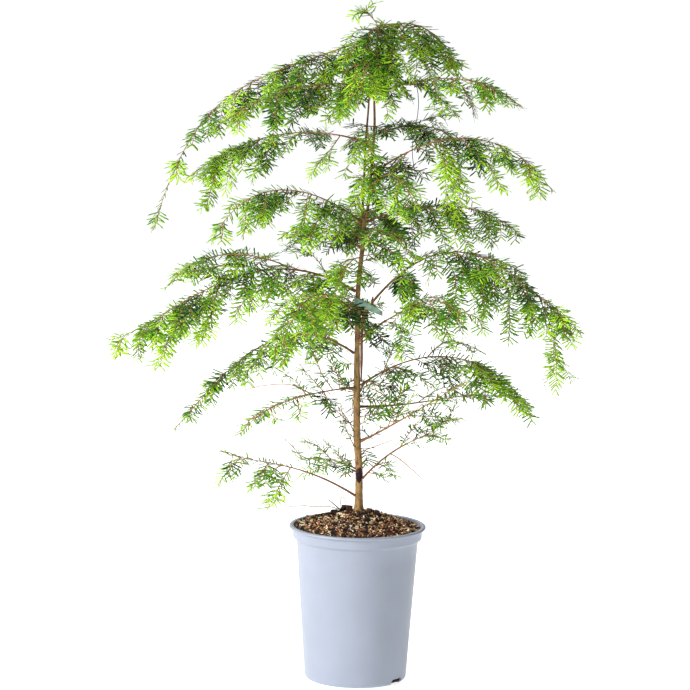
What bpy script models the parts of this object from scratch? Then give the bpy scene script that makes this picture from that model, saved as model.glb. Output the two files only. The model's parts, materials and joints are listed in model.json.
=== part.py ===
"""A potted hemlock: a young weeping conifer with two leaders, in a deep plastic nursery pot.

Metres, +Z up. The origin is the centre of the pot's flat underside. +X is to the right of the front
view and -Y is towards the viewer. Azimuths are degrees from +X, turning towards +Y.
"""

import math
import random
from collections import namedtuple

import bmesh
import bpy
from mathutils import Vector
from mathutils.bvhtree import BVHTree

CLEAR = 0.0003
UP = Vector((0, 0, 1))

# Pot: a thin shell with a rolled lip, a collar band and a body that tapers to the foot
POT_HEIGHT = 0.194
LIP_RADIUS = 0.085
LIP_DEPTH = 0.0036
COLLAR_RADIUS = 0.0806
COLLAR_DEPTH = 0.0130
BODY_RADIUS = 0.0756
FOOT_RADIUS = 0.0630
FOOT_ROUNDING = 0.0050
WALL = 0.0014
FLOOR = 0.0022
POT_SIDES = 40
NOTCH_AZIMUTHS = (-35, 145)
NOTCH_WIDTH = 0.021
NOTCH_HEIGHT = 0.0075

# Potting mix: a mound that stands highest at the trunk and lowest at the right and back of the rim
SOIL_SIDES = 32
SOIL_RINGS = (0.92, 0.76, 0.56, 0.36, 0.20)
SOIL_EDGE_HEIGHT = 0.1905
SOIL_EDGE_TILT = 0.0018
SOIL_HIGH_SIDE = 200
SOIL_TOP_HEIGHT = 0.2120
SOIL_TOP_RADIUS = 0.011
SOIL_ROUGHNESS = 0.0013

# Trunk: its centre line and the radius at each of those points
TRUNK_LINE = (
    (0.0010, 0.0, SOIL_TOP_HEIGHT + CLEAR),
    (0.0008, 0.0, 0.262),
    (-0.0024, 0.0, 0.305),
    (-0.0036, 0.0, 0.370),
    (-0.0041, 0.0, 0.420),
    (-0.0038, 0.0, 0.490),
    (0.0008, 0.0, 0.545),
    (0.0022, 0.0, 0.578),
)
TRUNK_RADII = (0.0049, 0.0046, 0.0045, 0.0043, 0.0033, 0.0029, 0.0027, 0.0033)
ROOT_FLARE = 0.0022
FLARE_HEIGHT = 0.006
TRUNK_SIDES = 10

# The two leaders that rise from the fork
LEADER_LINES = {
    "leader_left": (
        (0.0003, 0.0, 0.5784),
        (0.0000, 0.0004, 0.592),
        (0.0013, 0.0020, 0.634),
        (0.0026, 0.0040, 0.675),
        (0.0052, 0.0054, 0.715),
        (0.0063, 0.0070, 0.752),
        (0.0050, 0.0080, 0.780),
    ),
    "leader_right": (
        (0.0044, 0.0, 0.5784),
        (0.0065, -0.0004, 0.592),
        (0.0086, -0.0010, 0.622),
        (0.0128, -0.0020, 0.689),
        (0.0108, -0.0026, 0.751),
        (0.0141, -0.0020, 0.793),
        (0.0136, 0.0, 0.815),
    ),
}
LEADER_FOOT_RADIUS = {"leader_left": 0.0016, "leader_right": 0.0020}
LEADER_TIP_RADIUS = 0.0009
LEADER_SIDES = 6

# A sealed pruning wound on the front of the trunk
WOUND_HEIGHT = 0.2575
WOUND_LENGTH = 0.0200
WOUND_WIDTH = 0.0086
WOUND_RELIEF = 0.0016

# The tape that ties the strong right bough to the trunk, with its free end
TIE_HEIGHT = 0.4712
TIE_WIDTH = 0.0085
TIE_THICKNESS = 0.0009
TIE_SLOPE = 0.45
TIE_END = 0.0140
TIE_SIDES = 24
TIE_MIDDLE = 0.0025
TIE_CLEAR = 0.0006

# A thin thread that hangs from an upper right shoot
THREAD_LIMB = "right_2"
THREAD_PLACE = 0.285
THREAD_LENGTH = 0.1180
THREAD_RADIUS = 0.0005
THREAD_SWAY = 0.0035
THREAD_POINTS = 10

# Limbs. An arch leaves its parent at a height and an azimuth and ends at its reach. At a share s of the
# reach it stands climb * s - sag * s^2 - hook * s^6 above its start. The first share, wood, is a bare
# bough of its own, and the rest carries needles. Shoots are as long as spread and fall by droop.
Limb = namedtuple("Limb", "name parent height azimuth reach climb sag hook wood spread droop")
LIMBS = (
    Limb("top", "leader_right", 0.8163, 176, 0.023, 0.030, 0.012, 0.000, 0.00, 0.018, 0.2),
    Limb("left_1", "leader_right", 0.801, 172, 0.276, -0.100, 0.000, 0.147, 0.00, 0.052, 0.7),
    Limb("left_2", "leader_left", 0.738, 212, 0.216, 0.045, 0.086, 0.000, 0.00, 0.060, 0.8),
    Limb("left_3", "leader_left", 0.671, 160, 0.238, 0.063, 0.115, 0.006, 0.14, 0.062, 0.7),
    Limb("left_4", "trunk", 0.570, 198, 0.195, 0.156, 0.133, 0.040, 0.22, 0.066, 0.7),
    Limb("left_5", "trunk", 0.538, 140, 0.130, 0.070, 0.055, 0.010, 0.00, 0.046, 0.6),
    Limb("left_6", "trunk", 0.485, 181, 0.306, 0.187, 0.310, -0.060, 0.34, 0.068, 0.8),
    Limb("left_7", "left_6", 0.000, 166, 0.160, 0.066, 0.082, 0.020, 0.00, 0.046, 0.4),
    Limb("left_8", "trunk", 0.454, 238, 0.170, 0.140, 0.125, 0.030, 0.26, 0.064, 0.9),
    Limb("left_9", "trunk", 0.407, 168, 0.232, 0.165, 0.295, -0.025, 0.20, 0.048, 0.7),
    Limb("left_10", "trunk", 0.367, 225, 0.198, 0.010, 0.026, 0.020, 0.18, 0.046, 0.5),
    Limb("left_11", "trunk", 0.228, 198, 0.178, 0.120, 0.072, -0.018, 0.42, 0.046, 0.9),
    Limb("left_12", "trunk", 0.262, 130, 0.118, 0.027, 0.031, 0.000, 0.00, 0.026, 0.3),
    Limb("right_1", "leader_right", 0.806, 45, 0.150, 0.060, 0.100, 0.020, 0.00, 0.056, 0.7),
    Limb("right_2", "leader_right", 0.729, 340, 0.190, 0.092, 0.086, 0.014, 0.00, 0.050, 0.6),
    Limb("right_3", "leader_right", 0.680, 55, 0.178, 0.036, 0.048, 0.000, 0.00, 0.050, 0.5),
    Limb("right_4", "leader_right", 0.630, 352, 0.224, 0.187, 0.174, 0.026, 0.18, 0.062, 0.8),
    Limb("right_5", "leader_right", 0.612, 300, 0.112, 0.105, 0.116, 0.000, 0.00, 0.040, 0.7),
    Limb("right_6", "trunk", 0.572, 20, 0.208, 0.080, 0.086, 0.014, 0.16, 0.054, 0.6),
    Limb("right_7", "trunk", 0.468, 353, 0.262, 0.350, 0.430, -0.055, 0.26, 0.066, 0.9),
    Limb("right_8", "trunk", 0.424, 312, 0.186, 0.128, 0.042, 0.034, 0.30, 0.056, 0.7),
    Limb("right_9", "trunk", 0.366, 8, 0.218, 0.166, 0.175, 0.020, 0.26, 0.052, 0.7),
    Limb("right_10", "trunk", 0.343, 38, 0.236, -0.023, -0.034, 0.021, 0.46, 0.030, 0.3),
    Limb("right_11", "trunk", 0.297, 318, 0.178, 0.090, -0.014, 0.004, 0.42, 0.030, 0.4),
    Limb("right_12", "trunk", 0.248, 335, 0.130, 0.152, 0.088, -0.047, 0.50, 0.026, 0.4),
    Limb("front_1", "leader_right", 0.766, 258, 0.096, 0.030, 0.062, 0.014, 0.00, 0.050, 0.7),
    Limb("front_2", "leader_left", 0.690, 272, 0.072, 0.020, 0.048, 0.000, 0.00, 0.036, 0.6),
    Limb("front_3", "trunk", 0.562, 310, 0.098, 0.030, 0.056, 0.000, 0.00, 0.040, 0.6),
    Limb("front_4", "trunk", 0.528, 246, 0.080, 0.022, 0.062, 0.000, 0.00, 0.036, 0.7),
    Limb("back_1", "leader_left", 0.774, 98, 0.138, 0.042, 0.082, 0.020, 0.00, 0.054, 0.7),
    Limb("back_2", "trunk", 0.566, 82, 0.180, 0.072, 0.100, 0.014, 0.16, 0.060, 0.7),
    Limb("back_3", "trunk", 0.455, 104, 0.196, 0.084, 0.122, 0.014, 0.22, 0.060, 0.8),
    Limb("back_4", "trunk", 0.352, 80, 0.160, 0.056, 0.070, 0.010, 0.28, 0.040, 0.5),
)
STEMS = ("trunk", "leader_left", "leader_right")
UPPER_SHOOT_ROOT = 0.28

BOUGH_SIDES = 6
BOUGH_STEP = 0.016
BOUGH_ROOT_RADIUS = 0.0010
BOUGH_RADIUS_PER_REACH = 0.0028
BOUGH_TIP_RADIUS = 0.0009

# The strong right bough runs up beside the trunk from here to the tie
TIED_BOUGH = "right_7"
TIED_FOOT_HEIGHT = 0.3750
TIED_SWELL = 0.030
TIED_START = 0.0137
TIED_LEAN_FROM = 0.440
TIED_BEND = 0.02

# Needled shoots: flat toothed blades, one pair of needles at each step
NEEDLE_STEP = 0.0155
NEEDLE_LENGTH = 0.0165
NEEDLE_ANGLE = 58
RIB_HALF_WIDTH = 0.0010
RIB_HALF_HEIGHT = 0.0008
RIB_TIP_SHARE = 0.45
SHOOT_RIB_SHARE = 0.75
SHOOT_SPACING = 0.026
SHOOT_ANGLE = 58
SHOOT_LEAST = 0.020
SHOOT_START = 0.10
STEM_ROLL = 38
SEED = 20

COLOURS = {
    "pot": ((0.520, 0.565, 0.680, 1), 0.55),
    "soil": ((0.120, 0.070, 0.042, 1), 0.95),
    "bark": ((0.300, 0.175, 0.080, 1), 0.85),
    "wound": ((0.060, 0.018, 0.030, 1), 0.60),
    "tape": ((0.210, 0.330, 0.260, 1), 0.60),
    "thread": ((0.020, 0.018, 0.020, 1), 0.80),
    "needles": ((0.130, 0.300, 0.035, 1), 0.55),
}


def clear_scene():
    for obj in list(bpy.data.objects):
        bpy.data.objects.remove(obj, do_unlink=True)


def finish_named(slot):
    """The material of this slot, made once."""
    found = bpy.data.materials.get(slot)
    if found:
        return found
    colour, roughness = COLOURS[slot]
    made = bpy.data.materials.new(slot)
    made.use_nodes = True
    shader = made.node_tree.nodes["Principled BSDF"]
    shader.inputs["Base Color"].default_value = colour
    shader.inputs["Roughness"].default_value = roughness
    shader.inputs["Metallic"].default_value = 0.0
    return made


def add_object(name, vertices, faces, slot=None):
    """A mesh object in the scene, with its faces turned outwards."""
    mesh = bpy.data.meshes.new(name)
    mesh.from_pydata([tuple(v) for v in vertices], [], faces)
    work = bmesh.new()
    work.from_mesh(mesh)
    bmesh.ops.recalc_face_normals(work, faces=work.faces)
    work.to_mesh(mesh)
    work.free()
    obj = bpy.data.objects.new(name, mesh)
    bpy.context.scene.collection.objects.link(obj)
    if slot:
        mesh.materials.append(finish_named(slot))
    return obj


def smooth(obj, degrees=40):
    obj.data.shade_smooth()
    obj.data.set_sharp_from_angle(angle=math.radians(degrees))


def heading(azimuth):
    turn = math.radians(azimuth)
    return Vector((math.cos(turn), math.sin(turn), 0))


def along(line, share):
    """A point on a smooth curve through the points of a line, at a share of its points."""
    place = max(0.0, min(1.0, share)) * (len(line) - 1)
    i = min(int(place), len(line) - 2)
    t = place - i
    before = Vector(line[max(i - 1, 0)])
    a, b = Vector(line[i]), Vector(line[i + 1])
    after = Vector(line[min(i + 2, len(line) - 1)])
    return 0.5 * (
        2 * a
        + (b - before) * t
        + (2 * before - 5 * a + 4 * b - after) * t * t
        + (3 * a - before - 3 * b + after) * t * t * t
    )


def share_at_height(line, height):
    """The share of a rising line's points at which it reaches this height."""
    low, high = 0.0, 1.0
    for _ in range(30):
        middle = (low + high) / 2
        if along(line, middle).z < height:
            low = middle
        else:
            high = middle
    return (low + high) / 2


def trunk_radius(height):
    place = share_at_height(TRUNK_LINE, height) * (len(TRUNK_RADII) - 1)
    i = min(int(place), len(TRUNK_RADII) - 2)
    plain = TRUNK_RADII[i] + (TRUNK_RADII[i + 1] - TRUNK_RADII[i]) * (place - i)
    above_foot = height - TRUNK_LINE[0][2]
    return plain + ROOT_FLARE * math.exp(-above_foot / FLARE_HEIGHT)


def leader_radius(name, height):
    line = LEADER_LINES[name]
    share = (height - line[0][2]) / (line[-1][2] - line[0][2])
    foot = LEADER_FOOT_RADIUS[name]
    return foot + (LEADER_TIP_RADIUS - foot) * max(0.0, min(1.0, share))


def parent_axis(parent, height):
    """The centre and the radius of the trunk or a leader at a height."""
    if parent == "trunk":
        return along(TRUNK_LINE, share_at_height(TRUNK_LINE, height)), trunk_radius(height)
    line = LEADER_LINES[parent]
    return along(line, share_at_height(line, height)), leader_radius(parent, height)


def tube(points, radii, sides, upright_start=False):
    """Vertices and faces of a closed tube along points. Its first ring may stand upright, against a trunk."""
    vertices, faces = [], []
    count = len(points)
    for i, (point, radius) in enumerate(zip(points, radii)):
        ahead = (points[min(i + 1, count - 1)] - points[max(i - 1, 0)]).normalized()
        side = ahead.cross(UP)
        side = side.normalized() if side.length > 0.05 else Vector((0, 1, 0))
        over = side.cross(ahead).normalized()
        if i == 0 and upright_start and over.z > 0.3:
            over = UP / over.z
        for k in range(sides):
            turn = 2 * math.pi * k / sides
            vertices.append(point + side * radius * math.cos(turn) + over * radius * math.sin(turn))
    for i in range(count - 1):
        for k in range(sides):
            a, b = i * sides + k, i * sides + (k + 1) % sides
            faces.append((a, b, b + sides, a + sides))
    faces.append(tuple(range(sides))[::-1])
    faces.append(tuple(range((count - 1) * sides, count * sides)))
    return vertices, faces


def turned(profile, sides):
    """Vertices and faces of a solid turned about Z from a profile that starts and ends on the axis."""
    vertices = [Vector((0, 0, profile[0][1]))]
    for radius, height in profile[1:-1]:
        for k in range(sides):
            turn = 2 * math.pi * k / sides
            vertices.append(Vector((radius * math.cos(turn), radius * math.sin(turn), height)))
    vertices.append(Vector((0, 0, profile[-1][1])))
    rings = len(profile) - 2
    faces = []
    for k in range(sides):
        after = (k + 1) % sides
        faces.append((0, 1 + k, 1 + after))
        for i in range(rings - 1):
            a, b = 1 + i * sides + k, 1 + i * sides + after
            faces.append((a, a + sides, b + sides, b))
        last = 1 + (rings - 1) * sides
        faces.append((last + k, len(vertices) - 1, last + after))
    return vertices, faces


def body_radius(height):
    """The pot's outer radius on its tapering body."""
    top = POT_HEIGHT - LIP_DEPTH - COLLAR_DEPTH
    return FOOT_RADIUS + (BODY_RADIUS - FOOT_RADIUS) * height / top


def pot_profile():
    """The pot's section: down the outside from the lip, across the underside, and up the inside."""
    collar_foot = POT_HEIGHT - LIP_DEPTH - COLLAR_DEPTH
    lip_foot = POT_HEIGHT - LIP_DEPTH
    lip_half = LIP_DEPTH / 2
    outer = [(COLLAR_RADIUS, POT_HEIGHT - 0.0004)]
    for degrees in (60, 20, -20, -60):
        turn = math.radians(degrees)
        outer.append(
            (
                LIP_RADIUS - lip_half + lip_half * math.cos(turn),
                lip_foot + lip_half + lip_half * math.sin(turn),
            )
        )
    outer.append((COLLAR_RADIUS + 0.0004, lip_foot - 0.0002))
    outer.append((COLLAR_RADIUS - 0.0004, collar_foot + 0.0030))
    outer.append((COLLAR_RADIUS - 0.0016, collar_foot + 0.0008))
    outer.append((BODY_RADIUS + 0.0006, collar_foot - 0.0014))
    outer.append((body_radius(collar_foot - 0.0030), collar_foot - 0.0030))
    for degrees in (0, 30, 60, 90):
        turn = math.radians(degrees)
        height = FOOT_ROUNDING * (1 - math.sin(turn))
        inset = FOOT_ROUNDING * (1 - math.cos(turn))
        outer.append((body_radius(height) - inset, height))
    inner = [
        (body_radius(FLOOR) - WALL - 0.0022, FLOOR),
        (body_radius(FOOT_ROUNDING * 1.6) - WALL, FOOT_ROUNDING * 1.6),
        (body_radius(collar_foot - 0.0030) - WALL, collar_foot - 0.0030),
        (COLLAR_RADIUS - WALL - 0.0008, collar_foot + 0.0026),
        (COLLAR_RADIUS - WALL, POT_HEIGHT - 0.0014),
    ]
    return outer, inner


def make_pot():
    outer, inner = pot_profile()
    profile = [(0, FLOOR)] + inner + outer + [(0, 0)]
    vertices, faces = turned(profile, POT_SIDES)
    pot = add_object("pot", vertices, faces, "pot")
    for azimuth in NOTCH_AZIMUTHS:
        cutter = notch_cutter(azimuth)
        cut = pot.modifiers.new("drainage notch", "BOOLEAN")
        cut.operation = "DIFFERENCE"
        cut.solver = "EXACT"
        cut.object = cutter
    smooth(pot)


def notch_cutter(azimuth):
    """A block with a rounded top that opens the foot of the wall."""
    out = heading(azimuth)
    side = UP.cross(out)
    half = NOTCH_WIDTH / 2
    outline = [(-half, -0.002), (half, -0.002), (half, NOTCH_HEIGHT * 0.7)]
    outline += [(half * 0.8, NOTCH_HEIGHT), (-half * 0.8, NOTCH_HEIGHT), (-half, NOTCH_HEIGHT * 0.7)]
    near, far = FOOT_RADIUS - 0.011, FOOT_RADIUS + 0.006
    vertices = [out * distance + side * x + UP * z for distance in (near, far) for x, z in outline]
    count = len(outline)
    faces = [tuple(range(count))[::-1], tuple(range(count, 2 * count))]
    faces += [(k, (k + 1) % count, (k + 1) % count + count, k + count) for k in range(count)]
    cutter = add_object("notch_cutter_%d" % azimuth, vertices, faces)
    cutter.hide_render = True
    cutter.display_type = "WIRE"
    return cutter


def soil_height(share, azimuth):
    """The height of the mound at a share of its radius."""
    edge = SOIL_EDGE_HEIGHT + SOIL_EDGE_TILT * math.cos(math.radians(azimuth - SOIL_HIGH_SIDE))
    rise = 1 - share**1.35
    return edge + (SOIL_TOP_HEIGHT - edge) * max(0.0, rise)


def make_soil():
    """The mix that fills the pot, with a rough mound on top and a flat place where the trunk stands."""
    dice = random.Random(SEED)
    _, inner = pot_profile()
    wall = [(radius - CLEAR * 1.6, height) for radius, height in inner[:-1]]
    wall[0] = (wall[0][0], FLOOR + CLEAR)
    top_radius = COLLAR_RADIUS - WALL - CLEAR * 2.4
    vertices = [Vector((0, 0, FLOOR + CLEAR))]
    rings = [[(radius, height, k) for k in range(SOIL_SIDES)] for radius, height in wall]
    rings.append([(top_radius, soil_height(1, 360 * k / SOIL_SIDES), k) for k in range(SOIL_SIDES)])
    for share in SOIL_RINGS:
        radius = top_radius * share
        ring = []
        for k in range(SOIL_SIDES):
            bump = dice.uniform(-1, 1) * SOIL_ROUGHNESS
            ring.append((radius, soil_height(share, 360 * k / SOIL_SIDES) + bump, k))
        rings.append(ring)
    rings.append([(SOIL_TOP_RADIUS, SOIL_TOP_HEIGHT, k) for k in range(SOIL_SIDES)])
    for ring in rings:
        for radius, height, k in ring:
            turn = 2 * math.pi * k / SOIL_SIDES
            vertices.append(Vector((radius * math.cos(turn), radius * math.sin(turn), height)))
    vertices.append(Vector((0, 0, SOIL_TOP_HEIGHT)))
    faces = []
    for k in range(SOIL_SIDES):
        after = (k + 1) % SOIL_SIDES
        faces.append((0, 1 + after, 1 + k))
        for i in range(len(rings) - 1):
            a, b = 1 + i * SOIL_SIDES + k, 1 + i * SOIL_SIDES + after
            faces.append((a, b, b + SOIL_SIDES, a + SOIL_SIDES))
        last = 1 + (len(rings) - 1) * SOIL_SIDES
        faces.append((last + k, last + after, len(vertices) - 1))
    add_object("soil", vertices, faces, "soil")


def upright_tube(points, radii, sides):
    """A closed tube whose rings all lie level, for stems that rise."""
    vertices, faces = [], []
    for point, radius in zip(points, radii):
        for k in range(sides):
            turn = 2 * math.pi * k / sides
            vertices.append(point + Vector((math.cos(turn), math.sin(turn), 0)) * radius)
    for i in range(len(points) - 1):
        for k in range(sides):
            a, b = i * sides + k, i * sides + (k + 1) % sides
            faces.append((a, b, b + sides, a + sides))
    faces.append(tuple(range(sides))[::-1])
    faces.append(tuple(range((len(points) - 1) * sides, len(points) * sides)))
    return vertices, faces


def make_trunk():
    foot = TRUNK_LINE[0][2]
    heights = [foot, foot + FLARE_HEIGHT * 0.5, foot + FLARE_HEIGHT * 1.5, foot + FLARE_HEIGHT * 3]
    steps = 11
    top = TRUNK_LINE[-1][2]
    heights += [heights[3] + (top - heights[3]) * k / steps for k in range(1, steps + 1)]
    points = [along(TRUNK_LINE, share_at_height(TRUNK_LINE, z)) for z in heights]
    points[0], points[-1] = Vector(TRUNK_LINE[0]), Vector(TRUNK_LINE[-1])
    radii = [trunk_radius(z) for z in heights]
    vertices, faces = upright_tube(points, radii, TRUNK_SIDES)
    trunk = add_object("trunk", vertices, faces, "bark")
    smooth(trunk)
    return vertices, faces


def make_leader(name):
    line = LEADER_LINES[name]
    steps = 9
    points = [along(line, k / steps) for k in range(steps + 1)]
    radii = [leader_radius(name, p.z) for p in points]
    vertices, faces = upright_tube(points, radii, LEADER_SIDES)
    leader = add_object(name, vertices, faces, "bark")
    smooth(leader)
    return vertices, faces


def make_wound():
    """A shallow oval cushion that follows the front of the trunk."""
    centre, radius = parent_axis("trunk", WOUND_HEIGHT)
    rows, columns = 8, 6
    inner, outer = [], []
    for i in range(rows + 1):
        v = -1 + 2 * i / rows
        half = math.sqrt(max(0.0, 1 - v * v)) * WOUND_WIDTH / 2
        for k in range(columns + 1):
            u = -1 + 2 * k / columns
            turn = u * half / (radius + CLEAR * 1.5)
            swell = WOUND_RELIEF * math.sqrt(max(0.0, (1 - u * u) * (1 - v * v)))
            front = Vector((math.sin(turn), -math.cos(turn), 0))
            place = centre + UP * (v * WOUND_LENGTH / 2)
            inner.append(place + front * (radius + CLEAR * 1.5))
            outer.append(place + front * (radius + CLEAR * 1.5 + max(swell, 0.0002)))
    width = columns + 1
    faces = []
    count = len(inner)
    for i in range(rows):
        for k in range(columns):
            a = i * width + k
            faces.append((a, a + 1, a + 1 + width, a + width))
            faces.append((count + a, count + a + width, count + a + 1 + width, count + a + 1))
    border = [k for k in range(columns)]
    border += [columns + i * width for i in range(rows)]
    border += [rows * width + columns - k for k in range(columns)]
    border += [(rows - i) * width for i in range(rows)]
    for a, b in zip(border, border[1:] + border[:1]):
        faces.append((a, count + a, count + b, b))
    wound = add_object("wound_seal", inner + outer, faces, "wound")
    work = bmesh.new()
    work.from_mesh(wound.data)
    bmesh.ops.remove_doubles(work, verts=work.verts, dist=0.00005)
    bmesh.ops.recalc_face_normals(work, faces=work.faces)
    work.to_mesh(wound.data)
    work.free()
    smooth(wound, 60)


def bough_radius(limb, share):
    root = BOUGH_ROOT_RADIUS + BOUGH_RADIUS_PER_REACH * limb.reach
    return root + (BOUGH_TIP_RADIUS - root) * min(1.0, share / max(limb.wood, 0.05))


def limb_named(name):
    return next(limb for limb in LIMBS if limb.name == name)


def limb_origin(limb):
    """Where a limb's centre line starts, on its parent's axis or on its parent bough."""
    if limb.parent in STEMS:
        centre, _ = parent_axis(limb.parent, limb.height)
        centre = Vector((centre.x, centre.y, limb.height))
        if limb.name == TIED_BOUGH:
            centre = centre + heading(limb.azimuth) * TIED_START
        return centre
    bough = limb_named(limb.parent)
    above = bough_radius(bough, UPPER_SHOOT_ROOT) + RIB_HALF_WIDTH + CLEAR
    return limb_point(bough, UPPER_SHOOT_ROOT) + UP * above


def limb_point(limb, share):
    rise = limb.climb * share - limb.sag * share**2 - limb.hook * share**6
    return limb_origin(limb) + heading(limb.azimuth) * limb.reach * share + UP * rise


def limb_direction(limb, share):
    step = 0.01
    return (limb_point(limb, share + step) - limb_point(limb, share - step)).normalized()


def share_past(limb, distance):
    """The share of the reach at which a limb is this far out from its start."""
    return distance / limb.reach


def tied_foot_points():
    """Centre line and radii of the strong bough's foot, which runs up the trunk's right side."""
    limb = limb_named(TIED_BOUGH)
    out = heading(limb.azimuth)
    points, radii = [], []
    steps = 7
    for k in range(steps + 1):
        z = TIED_FOOT_HEIGHT + (limb.height - 0.006 - TIED_FOOT_HEIGHT) * k / steps
        centre, trunk = parent_axis("trunk", z)
        swell = min(1.0, (z - TIED_FOOT_HEIGHT) / TIED_SWELL)
        radius = 0.0008 + (bough_radius(limb, 0) - 0.0008) * swell
        lean = max(0.0, (z - TIED_LEAN_FROM) / (limb.height - TIED_LEAN_FROM))
        beside = trunk + radius + CLEAR * 1.7
        points.append(centre + out * (beside + (TIED_START - beside) * lean**1.5 * 0.92))
        radii.append(radius)
    return points, radii


def bough_line(limb):
    """Centre line and radii of the bare part of a limb, from its parent's surface to its needles."""
    points, radii = [], []
    if limb.name == TIED_BOUGH:
        points, radii = tied_foot_points()
        first = TIED_BEND
    else:
        _, parent_radius = parent_axis(limb.parent, limb.height)
        first = share_past(limb, parent_radius + CLEAR * 1.6)
    steps = max(3, round(limb.reach * limb.wood / BOUGH_STEP))
    for k in range(steps + 1):
        share = first + (limb.wood - first) * k / steps
        points.append(limb_point(limb, share))
        radii.append(bough_radius(limb, share))
    return points, radii


def make_bough(limb):
    """One tapering tube, whose root is cut upright where it stands against the trunk."""
    points, radii = bough_line(limb)
    vertices, faces = tube(points, radii, BOUGH_SIDES, upright_start=limb.name != TIED_BOUGH)
    bough = add_object("bough_" + limb.name, vertices, faces, "bark")
    smooth(bough, 60)
    return vertices, faces


def blade(points, side_of, rib, teeth):
    """A flat toothed blade: a thin four-edged rib along points, with needles from its two side edges.

    side_of gives the direction of the blade's right side at each point, rib the half width and half
    height at the start, and teeth whether each step carries a needle on its left and right.
    """
    vertices, faces = [], []
    count = len(points)
    for i, point in enumerate(points[:-1]):
        ahead = (points[i + 1] - points[max(i - 1, 0)]).normalized()
        side = side_of[i]
        over = side.cross(ahead).normalized()
        fade = 1 + (RIB_TIP_SHARE - 1) * i / (count - 1)
        half_width, half_height = rib[0] * fade, rib[1] * fade
        vertices += [
            point - side * half_width,
            point + over * half_height,
            point + side * half_width,
            point - over * half_height,
        ]
    tip = len(vertices)
    vertices.append(points[-1])
    faces.append((0, 1, 2, 3))
    for i in range(count - 2):
        left, top, right, bottom = (4 * i + k for k in range(4))
        for edge, sign, flag in ((left, -1, teeth[i][0]), (right, 1, teeth[i][1])):
            ring = (edge, edge + 4)
            for ridge in (top, bottom):
                if flag:
                    needle = len(vertices)
                    faces.append((ridge, ridge + 4, needle))
                    faces.append((ridge + 4, ring[1], needle))
                    faces.append((ridge, needle, ring[0]))
                else:
                    faces.append((ridge, ridge + 4, ring[1], ring[0]))
            if flag:
                vertices.append(needle_tip(points, side_of, i, sign))
    last = 4 * (count - 2)
    for k in range(4):
        faces.append((last + k, last + (k + 1) % 4, tip))
    return vertices, faces


def needle_tip(points, side_of, i, sign):
    ahead = (points[i + 1] - points[i]).normalized()
    turn = math.radians(NEEDLE_ANGLE)
    start = points[i].lerp(points[i + 1], 0.55)
    return start + (ahead * math.cos(turn) + side_of[i] * (sign * math.sin(turn))) * NEEDLE_LENGTH


def rolled_sides(points, roll):
    """The blade's right side at each point: level, then turned about the line by a roll in degrees."""
    sides = []
    for i in range(len(points)):
        ahead = (points[min(i + 1, len(points) - 1)] - points[max(i - 1, 0)]).normalized()
        level = ahead.cross(UP)
        level = level.normalized() if level.length > 0.1 else Vector((0, 1, 0))
        over = level.cross(ahead).normalized()
        turn = math.radians(roll)
        sides.append(level * math.cos(turn) + over * math.sin(turn))
    return sides


def shoot_line(root, direction, length, droop):
    """The centre line of a side shoot, which leaves in a direction and bends down under its weight."""
    steps = max(2, round(length / NEEDLE_STEP))
    line = [root]
    for k in range(1, steps + 1):
        t = k / steps
        out = direction * length * t * (1 - 0.3 * droop * t)
        line.append(root + out - UP * droop * length * 0.85 * t**1.7)
    return line


def stem_line(limb):
    """The centre line of a mass's stem, from just clear of its bough or trunk to the limb's tip."""
    if limb.wood:
        start = limb.wood + CLEAR / limb.reach
    elif limb.parent in STEMS:
        start = share_past(limb, parent_axis(limb.parent, limb.height)[1] + CLEAR * 2)
    if limb.parent.startswith("left") or limb.name == "top":
        start = 0.0
    steps = max(3, round(limb.reach * (1 - start) / NEEDLE_STEP))
    return [limb_point(limb, start + (1 - start) * k / steps) for k in range(steps + 1)], start


def shoot_length(limb, place, dice):
    """Long shoots in the inner half of a mass and short ones near its tip."""
    shape = 0.9 + 0.5 * place if place < 0.4 else 1.1 - 0.85 * (place - 0.4) / 0.6
    return limb.spread * shape * dice.uniform(0.75, 1.15)


def side_shoots(limb, start, number):
    """The seeded rule for a mass's side shoots: root, direction, length, droop and roll of each."""
    dice = random.Random(SEED * 100 + number)
    length = limb.reach * (1 - start)
    count = max(1, round(length * (1 - SHOOT_START) / SHOOT_SPACING))
    shoots = []
    sign = 1 if number % 2 else -1
    for k in range(count):
        place = SHOOT_START + (0.94 - SHOOT_START) * (k + dice.uniform(0.15, 0.85)) / count
        share = start + (1 - start) * place
        ahead = limb_direction(limb, share)
        level = ahead.cross(UP).normalized()
        turn = math.radians(SHOOT_ANGLE + dice.uniform(-14, 14))
        lift = dice.uniform(-0.15, 0.35)
        direction = (ahead * math.cos(turn) + level * sign * math.sin(turn) + UP * lift).normalized()
        size = shoot_length(limb, place, dice)
        droop = limb.droop * dice.uniform(0.6, 1.2)
        roll = dice.uniform(-60, 60)
        sign = -sign
        if size >= SHOOT_LEAST:
            shoots.append((limb_point(limb, share), direction, size, droop, roll))
    return shoots


def inside_space(limb, start, point):
    """Whether a point keeps to the limb's own space, a sleeve about its stem."""
    flat = point - limb_origin(limb)
    share = flat.dot(heading(limb.azimuth)) / limb.reach
    if share > 1.0 + NEEDLE_LENGTH / limb.reach:
        return False
    near = limb_point(limb, max(start, min(1.0, share)))
    return (point - near).length < limb.spread * 1.5 + NEEDLE_LENGTH


def touches(vertices, faces, others):
    tree = BVHTree.FromPolygons(vertices, faces, epsilon=CLEAR)
    return any(tree.overlap(other) for other in others)


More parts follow.
